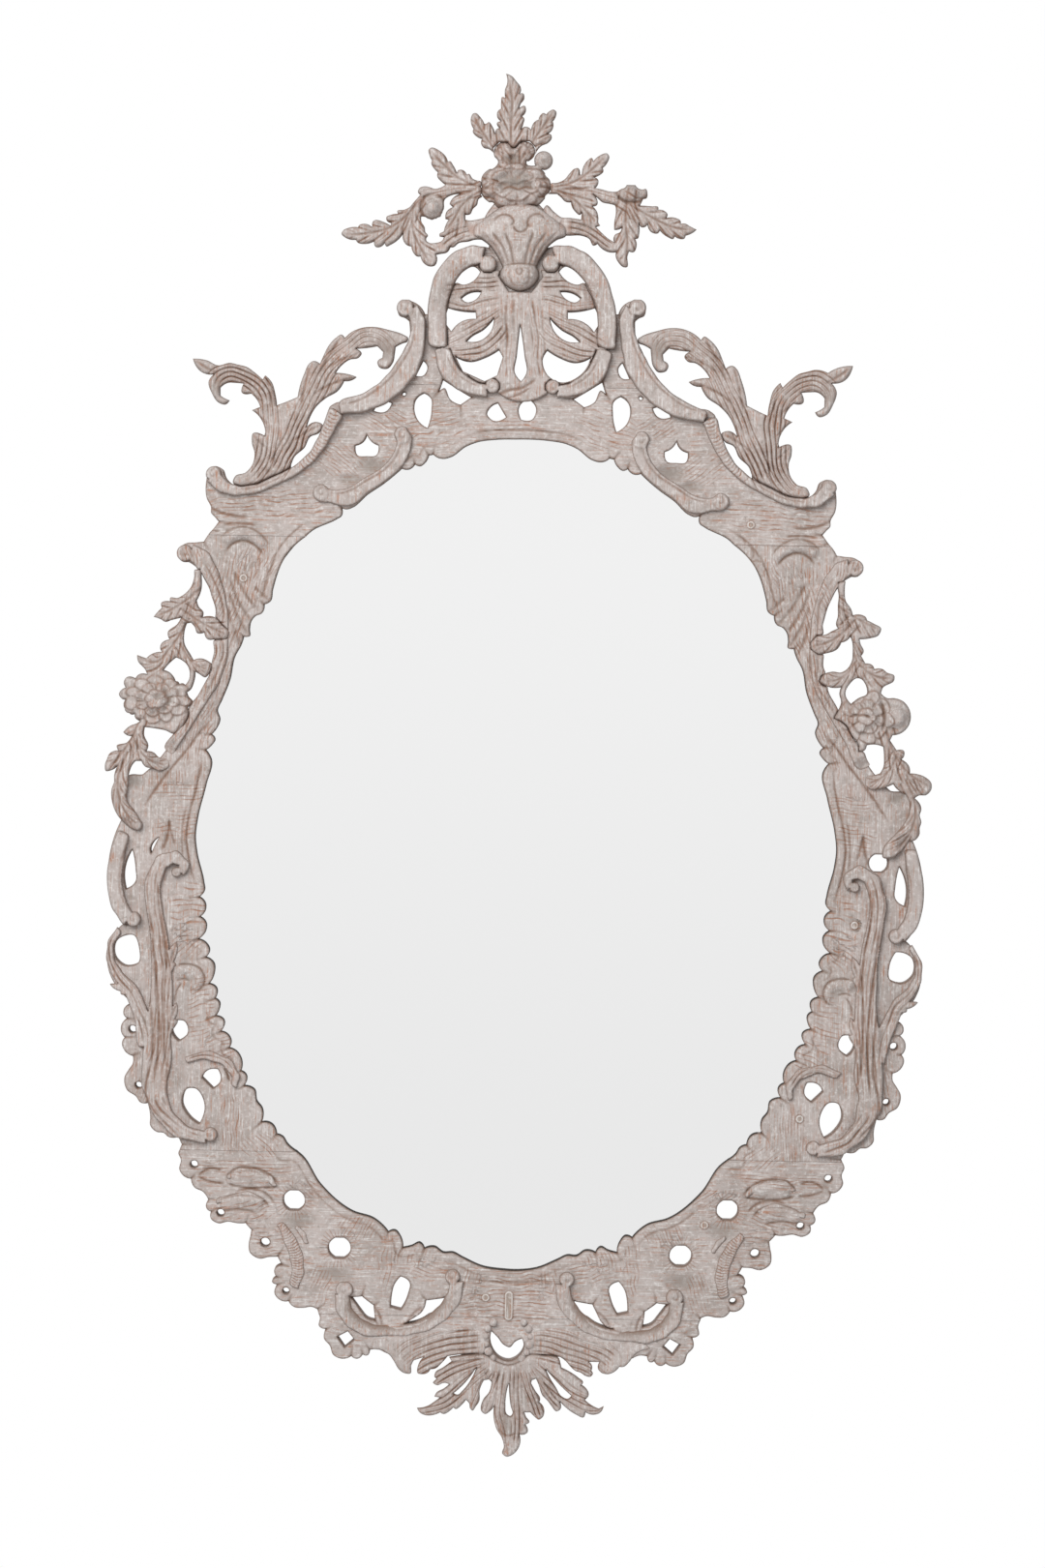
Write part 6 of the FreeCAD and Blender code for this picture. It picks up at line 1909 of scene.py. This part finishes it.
# Cuts in the applied carvings
CARVING_CUTS = [
    Veins(((-9, 850), (-9, 880), (-8, 912), (-14, 940)), 30, 5, 1.8, ALONE),
    Veins(((-24, 846), (-38, 864), (-47, 878), (-54, 894)), 26, 4, 1.8, ALONE),
    Veins(((10, 850), (22, 868), (32, 882), (43, 898)), 26, 4, 1.8, ALONE),
    Groove(((18, 855), (28, 860), (38, 867)), 3.0, 1.8, 0.5, ALONE),
    Veins(((-44, 806), (-70, 816), (-90, 833), (-107, 851)), 32, 5, 1.8, ALONE),
    Veins(((-128, 780), (-150, 760), (-180, 751), (-212, 750)), 28, 5, 1.8, ALONE),
    Veins(((-126, 782), (-127, 755), (-117, 732), (-104, 713)), 28, 4, 1.8, ALONE),
    Veins(((-48, 800), (-68, 784), (-80, 764), (-94, 748)), 32, 4, 1.8, ALONE),
    Flutes(((-62, 802), (-92, 800), (-112, 796), (-126, 784)), 14, 2, 1.2, 0.7, ALONE),
    Flutes(((-57, 753), (-70, 749), (-92, 735)), 26, 4, 1.8, 0.8, ALONE),
    Ticks(((-62, 752), (-72, 748), (-84, 741)), 26, 13, 1.2, 0.4, ALONE),
    Veins(((40, 806), (68, 813), (88, 827), (106, 845)), 32, 5, 1.8, ALONE),
    Veins(((136, 784), (160, 770), (186, 758), (212, 755)), 30, 5, 1.8, ALONE),
    Veins(((130, 786), (129, 762), (131, 738), (127, 711)), 30, 4, 1.8, ALONE),
    Veins(((44, 802), (68, 790), (84, 774), (97, 760)), 30, 4, 1.8, ALONE),
    Flutes(((70, 802), (95, 799), (110, 794), (124, 790)), 14, 2, 1.2, 0.7, ALONE),
    Flutes(((58, 758), (72, 756), (96, 744), (112, 733)), 26, 4, 1.8, 0.8, ALONE),
    Ticks(((64, 757), (76, 753), (90, 746)), 26, 13, 1.2, 0.4, ALONE),
    # Rings round the raised bosses of the sprays, darkened with painted shade and dirt
    Groove(((-103, 797), (-92, 793), (-88, 782), (-92, 771), (-103, 767), (-114, 771), (-118, 782),
            (-114, 793), (-103, 797)), 3.4, 3.0, 0.7, ALONE, 0.7),
    Hollow((-103, 782), (15, 15), -4.0, 0.0, ALONE),
    Groove(((137, 812), (150, 809), (156, 800), (150, 791), (137, 788), (124, 791), (118, 800), (124, 809),
            (137, 812)), 3.4, 3.0, 0.7, ALONE, 0.7),
    Hollow((137, 800), (18, 11), -4.0, 0.0, ALONE),
    Rosette((-4, 808), ((40, 26, 7, 0.7), (31, 19, 5, 0.2)), 2.8, ALONE),
    Hollow((-4, 811), (29, 16), 14.0, 1.0, ALONE),
    Groove(((-26, 808), (-16, 814), (-4, 811), (8, 815), (18, 809)), 5.0, -4.0, 0.0, ALONE),
    Groove(((-20, 802), (-10, 806), (0, 803), (10, 806), (18, 803)), 3.0, 2.0, 0.9, ALONE),
    Rosette((-8, 842), ((25, 17, 6, 0.3),), 2.4, ALONE),
    Hollow((-8, 839), (14, 8), 11.0, 1.0, ALONE),
    Hollow((31, 836), (7, 5), 3.0, 0.6, ALONE),
    *(Groove(tuple((1 + share * half, height) for height, half in VASE_SIDES), 3.4, 2.4, 0.5, ALONE)
      for share in (-0.84, -0.6, -0.32, 0.32, 0.6, 0.84)),
    *alike(Groove, (3.0, 2.2, 0.7, ALONE), ((-30, 764), (-20, 772), (-10, 770), (-6, 763), (-11, 758)),
           ((33, 766), (23, 773), (13, 768), (11, 761), (15, 757)),
           ((-6, 759), (-3, 753), (3, 751), (9, 754), (11, 760))),
    Hatch((1, 745), (8, 6), 0, 3.2, 0.9, ALONE),
    Groove(((-20, 711), (-8, 713), (2, 713.5), (12, 713), (23, 711)), 2.6, 1.8, 0.6, ALONE),
    # Ring round the small boss of the vase foot, darkened with painted shade and dirt
    Groove(((1, 709), (5, 705), (1, 700), (-3, 705), (1, 709)), 2.4, 1.4, 0.6, ALONE, 0.5),
    Groove(((-10, 708), (-11, 697), (-7, 688)), 2.6, 1.4, 0.5, ALONE),
    Groove(((12, 708), (13, 697), (9, 688)), 2.6, 1.4, 0.5, ALONE),
    Groove(((-50, 711), (-59, 709), (-67, 704), (-76, 692), (-82, 680), (-86, 662), (-87, 645),
            (-85, 630)), 16.0, 4.5, 0.15),
    Hollow((-37, 713), (13, 13), -2.5, 0.0),
    Groove(((-86, 604), (-81, 592), (-73, 581), (-62, 573), (-48, 567)), 2.2, 1.0, 0.5),
    Spiral((-31.5, 567), 9.0, 1.1),
    Flutes(((-22, 690), (-50, 689), (-88, 683)), 18, 3, 1.6, 0.8),
    Flutes(((-20, 672), (-46, 668), (-66, 664), (-90, 668)), 14, 2, 1.6, 0.8),
    Flutes(((-18, 656), (-46, 643), (-66, 632), (-92, 618)), 20, 3, 1.6, 0.8),
    Flutes(((-14, 640), (-30, 622), (-52, 610), (-84, 606)), 20, 3, 1.6, 0.8),
    Flutes(((-12, 674), (-13, 640), (-14, 610), (-16, 575)), 18, 2, 1.6, 0.8),
    Groove(((-26, 556), (-12, 562), (4, 565), (20, 576)), 4.0, 2.0, 0.8, ALONE),
    Groove(((-16, 552), (-2, 556), (14, 566)), 3.0, 1.6, 0.7, ALONE),
    Spiral((-136, 661), 11.0, 1.4),
    Groove(((-126, 640), (-127, 622), (-139, 597), (-152, 579), (-170, 563), (-192, 550), (-214, 545)),
            2.6, 1.3, 0.6),
    Ticks(((-221, 536), (-228, 518), (-236, 501), (-248, 483), (-262, 471)), 13, 4.6, 0.8, 0.8),
    Groove(((-276, 464), (-296, 453), (-318, 445), (-340, 443)), 2.0, 0.9, 0.6),
    Spiral((-367, 461), 9.5, 1.0),
    Flutes(((-338, 449), (-312, 468), (-304, 495), (-300, 520), (-302, 545), (-313, 567), (-330, 580),
            (-348, 583), (-362, 575), (-366, 560)), 34, 6, 2.2, 1.0),
    Flutes(((-300, 452), (-283, 480), (-270, 505), (-257, 535), (-243, 562), (-228, 588), (-208, 608),
            (-185, 624), (-165, 622), (-157, 605)), 36, 6, 2.2, 1.0),
    *alike(Groove, (3.2, 1.8, 0.6), ((-303, 492), (-312, 500), (-320, 509)),
           ((-302, 520), (-311, 529), (-320, 537)),
           ((-307, 548), (-319, 554), (-332, 559)),
           ((-299, 540), (-299, 558), (-304, 577)),
           ((-360, 581), (-374, 588), (-390, 599))),
    *alike(Groove, (3.4, 2.0, 0.6), ((-262, 545), (-257, 570), (-249, 595)),
           ((-240, 582), (-228, 604), (-213, 627)),
           ((-228, 590), (-210, 600), (-191, 606)),
           ((-248, 556), (-224, 570), (-197, 577)),
           ((-272, 500), (-255, 512), (-236, 521))),
    Hollow((-158, 612), (16, 19), 1.5, 0.8),
    Hollow((-361, 567), (14, 16), 1.5, 0.7),
    Spiral((-139, 508), 10.0, 1.0),
    Spiral((-237, 439), 9.0, 1.0),
    Groove(((-143, 497), (-147, 484), (-159, 469), (-184, 453), (-207, 440), (-224, 438)), 2.6, 1.4, 0.6),
    Spiral((-402, 366), 10.0, 1.2),
    Hatch((-394, 362), (15, 11), 100, 4.4, 1.0),
    Hatch((-364, 322), (12, 30), 66, 4.6, 0.9),
    Hatch((-364, 235), (12, 40), 78, 4.4, 1.0),
    Hatch((-384, 178), (22, 30), 80, 4.4, 1.0),
    Flutes(((-388, 362), (-373, 345), (-364, 323), (-358, 297), (-357.5, 270), (-359, 245), (-367, 215),
            (-381, 191), (-399, 163), (-420, 130)), 17, 2, 1.0, 0.7),
    Hollow((-427, 120), (24, 24), 12.0, 0.0),
    Hollow((-474, 36), (15, 14), 9.0, 0.0),
    Veins(((-396, 313), (-415, 300), (-438, 290)), 28, 4, 1.6, ALONE),
    Veins(((-394, 290), (-376, 279), (-352, 268)), 26, 3, 1.6, ALONE),
    Veins(((-406, 272), (-420, 252), (-437, 235), (-458, 241)), 28, 4, 1.6, ALONE),
    Veins(((-402, 246), (-388, 231), (-374, 226)), 20, 3, 1.4, ALONE),
    Veins(((-462, 154), (-475, 130), (-496, 107)), 28, 4, 1.6, ALONE),
    Veins(((-460, 134), (-446, 117), (-424, 111)), 22, 3, 1.4, ALONE),
    Veins(((-478, 112), (-484, 85), (-478, 60), (-458, 36)), 25, 4, 1.6, ALONE),
    Flutes(((-392, 338), (-396, 315), (-402, 285), (-410, 255)), 12, 2, 1.0, 0.7, ALONE),
    Rosette((-436, 190), ((40, 29, 11, 0.4), (27, 20, 8, 1.0), (14, 11, 6, 0.2)), 2.6, ALONE),
    Hollow((-434, 194), (8, 6), 3.0, 0.9, ALONE),
    Veins(((393, 297), (414, 284), (436, 274)), 28, 4, 1.6, ALONE),
    Veins(((395, 274), (378, 261), (354, 254)), 26, 3, 1.6, ALONE),
    Veins(((406, 240), (424, 221), (452, 215)), 28, 4, 1.6, ALONE),
    Veins(((400, 226), (386, 214), (366, 212)), 20, 3, 1.4, ALONE),
    Veins(((448, 138), (466, 106), (496, 85)), 28, 4, 1.6, ALONE),
    Veins(((452, 112), (438, 95), (420, 88)), 22, 3, 1.4, ALONE),
    Veins(((474, 78), (479, 50), (470, 24), (446, 0)), 25, 4, 1.6, ALONE),
    Flutes(((390, 320), (392, 296), (400, 262), (407, 232)), 12, 2, 1.0, 0.7, ALONE),
    Rosette((419, 168), ((32, 32, 9, 0.4), (21, 21, 7, 1.0), (11, 11, 5, 0.2)), 2.4, ALONE),
    Groove(((438, 186), (441, 168), (438, 150)), 3.6, 3.0, 0.8, ALONE),
    Groove(((398, 168), (412, 171), (425, 168)), 3.0, 2.2, 0.8, ALONE),
    Spiral((-465, -76), 9.0, 1.0),
    Groove(((-474, 12), (-480, -8), (-482, -24), (-480, -46), (-474, -60)), 2.4, 1.2, 0.6),
    Flutes(((-426, 0), (-440, -30), (-440, -62), (-434, -100), (-431, -150), (-433, -200), (-437, -245),
            (-442, -282)), 32, 4, 0.9, 0.7),
    Flutes(((-440, -290), (-428, -312), (-408, -332), (-384, -341)), 18, 2, 1.4, 0.7),
    Spiral((-373, -337), 9.0, 1.0),
    Spiral((-413, -19), 8.0, 1.1),
    Flutes(((-486, -92), (-494, -107), (-493, -126), (-484, -144), (-468, -163), (-454, -200),
            (-448, -228)), 14, 2, 1.4, 0.8),
    Flutes(((-402, -247), (-378, -241), (-353, -250), (-342, -266)), 11, 2, 1.0, 0.7),
    Groove(((-447, -58), (-442, -108), (-437, -160), (-435, -215), (-441, -272)), 3.2, 2.2, 0.9),
    Groove(((-436, -30), (-434, -62), (-428, -100), (-426, -140)), 3.0, 2.0, 0.9),
    Groove(((-424, -118), (-428, -160), (-429, -205), (-427, -255)), 3.0, 2.0, 0.9),
    Groove(((-450, -150), (-444, -190), (-443, -240), (-450, -292), (-428, -322)), 3.0, 2.0, 0.8),
    Groove(((-422, -228), (-425, -262), (-418, -296)), 3.0, 1.8, 0.8),
    Groove(((-426, -150), (-420, -125), (-413, -104)), 2.8, 1.4, 0.6),
    Groove(((-424, -212), (-420, -196), (-413, -178)), 2.8, 1.4, 0.6),
    Groove(((-352, -389), (-328, -382), (-302, -390)), 2.0, 1.2, 0.5),
    Groove(((-364, -418), (-340, -412), (-312, -416)), 2.0, 1.2, 0.5),
    Ticks(((-290, -446), (-279, -462), (-270, -482), (-267, -504), (-272, -522)), 16, 3.4, 0.8, 0.9),
    Spiral((-211, -526), 11.0, 1.2),
    Spiral((-80, -510), 9.5, 1.1),
    # Inner bevel of the apron scroll, darkened with painted shade and dirt
    Groove(((-205, -536), (-201, -549), (-191, -560), (-176, -567), (-140, -568), (-114, -560),
            (-99, -548), (-88, -530)), 13.0, 5.5, 0.5, Hand.BOTH, 1.0),
    Flutes(((-44, -588), (-82, -593), (-116, -604), (-140, -618)), 56, 8, 1.4, 0.9, ALONE),
    Flutes(((16, -588), (50, -594), (86, -606), (112, -620)), 56, 8, 1.4, 0.9, ALONE),
    Flutes(((-40, -612), (-66, -618), (-86, -627), (-103, -639)), 20, 3, 1.5, 0.9, ALONE),
    Flutes(((-34, -618), (-62, -638), (-90, -662), (-122, -671)), 24, 4, 1.5, 0.9, ALONE),
    Flutes(((-32, -622), (-44, -644), (-56, -672)), 17, 3, 1.5, 0.9, ALONE),
    Flutes(((-26, -624), (-33, -648), (-42, -676)), 15, 3, 1.5, 0.9, ALONE),
    Flutes(((-22, -622), (-24, -655), (-24, -685), (-14, -726)), 17, 3, 1.5, 0.9, ALONE),
    Flutes(((-4, -622), (-3, -652), (-2, -682), (-4, -714)), 16, 3, 1.5, 0.9, ALONE),
    Flutes(((4, -624), (14, -650), (26, -682)), 17, 3, 1.5, 0.9, ALONE),
    Flutes(((12, -622), (28, -645), (48, -673)), 16, 3, 1.5, 0.9, ALONE),
    Flutes(((16, -618), (42, -638), (72, -660), (102, -669)), 25, 4, 1.5, 0.9, ALONE),
    Groove(((-24, -694), (-14, -703), (-4, -700)), 2.4, 1.4, 0.8, ALONE),
    Hollow((-15, -686), (11, 22), 2.0, 0.7, ALONE),
]


# Colours of the plate at its foot and head: painted shade that darkens the reflection towards the foot
PLATE_FOOT_COLOUR = (0.90, 0.90, 0.90, 1)
PLATE_HEAD_COLOUR = (0.975, 0.975, 0.975, 1)
PLATE_ROUGHNESS = 0.04


def mirror_material() -> bpy.types.Material:
    """Silvered plate that shows the white studio, its colour painted a little darker towards its foot as
    painted shade in the reflection.
    """
    made, tree = new_material("silvered_plate")
    apart = tree.node("ShaderNodeSeparateXYZ", {0: tree.node("ShaderNodeTexCoord").outputs["Object"]})
    share = tree.span(apart.outputs["Z"], -0.5, 0.5)
    colour = tree.blend(share, PLATE_FOOT_COLOUR, PLATE_HEAD_COLOUR)
    tree.shade({"Base Color": colour, "Metallic": 1.0, "Roughness": PLATE_ROUGHNESS})
    return made


DRESSED = {
    "back_board": BACK_FINISH, "back_board_nails": IRON, "frame_dowels": BARE_FINISH,
    "plate_packers": BARE_FINISH, "hanger_strap_left": BRASS, "hanger_strap_right": BRASS,
    "hanger_screws": IRON,
}


def dress(node: str, material: bpy.types.Material) -> None:
    """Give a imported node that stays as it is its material."""
    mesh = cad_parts[node].data
    mesh.materials.clear()
    mesh.materials.append(material)


def main() -> None:
    """Build every piece, dress what stays as imported, and light it."""
    logging.basicConfig(level=logging.INFO, format="%(name)s %(message)s")
    bpy.context.scene.view_settings.view_transform = "Standard"
    for node in RAILS:
        Relief(node, RAIL_FINISH, Layer.BOARD, BOARD_STEP, BOARD_CUTS).build()
    for node in STILES:
        Relief(node, STILE_FINISH, Layer.BOARD, BOARD_STEP, BOARD_CUTS).build()
    for profile, nodes in CARVED.items():
        for node in nodes:
            Relief(node, CARVED_FINISH, Layer.CARVING, CARVING_STEP, CARVING_CUTS, profile).build()
    Vase("crest_vase", CARVED_FINISH, Layer.CARVING, CARVING_STEP, CARVING_CUTS, Profile.ROUND).build()
    Plugs().build()
    Beads(BEAD_LINES).build()
    for side in ("left", "right"):
        WireRing("hanger_ring_" + side, side + "_ring", BRASS).build()
    for node, finish in DRESSED.items():
        dress(node, material_of(finish))
    dress("mirror_plate", mirror_material())
    Studio().build()


if __name__ == "__main__":
    main()
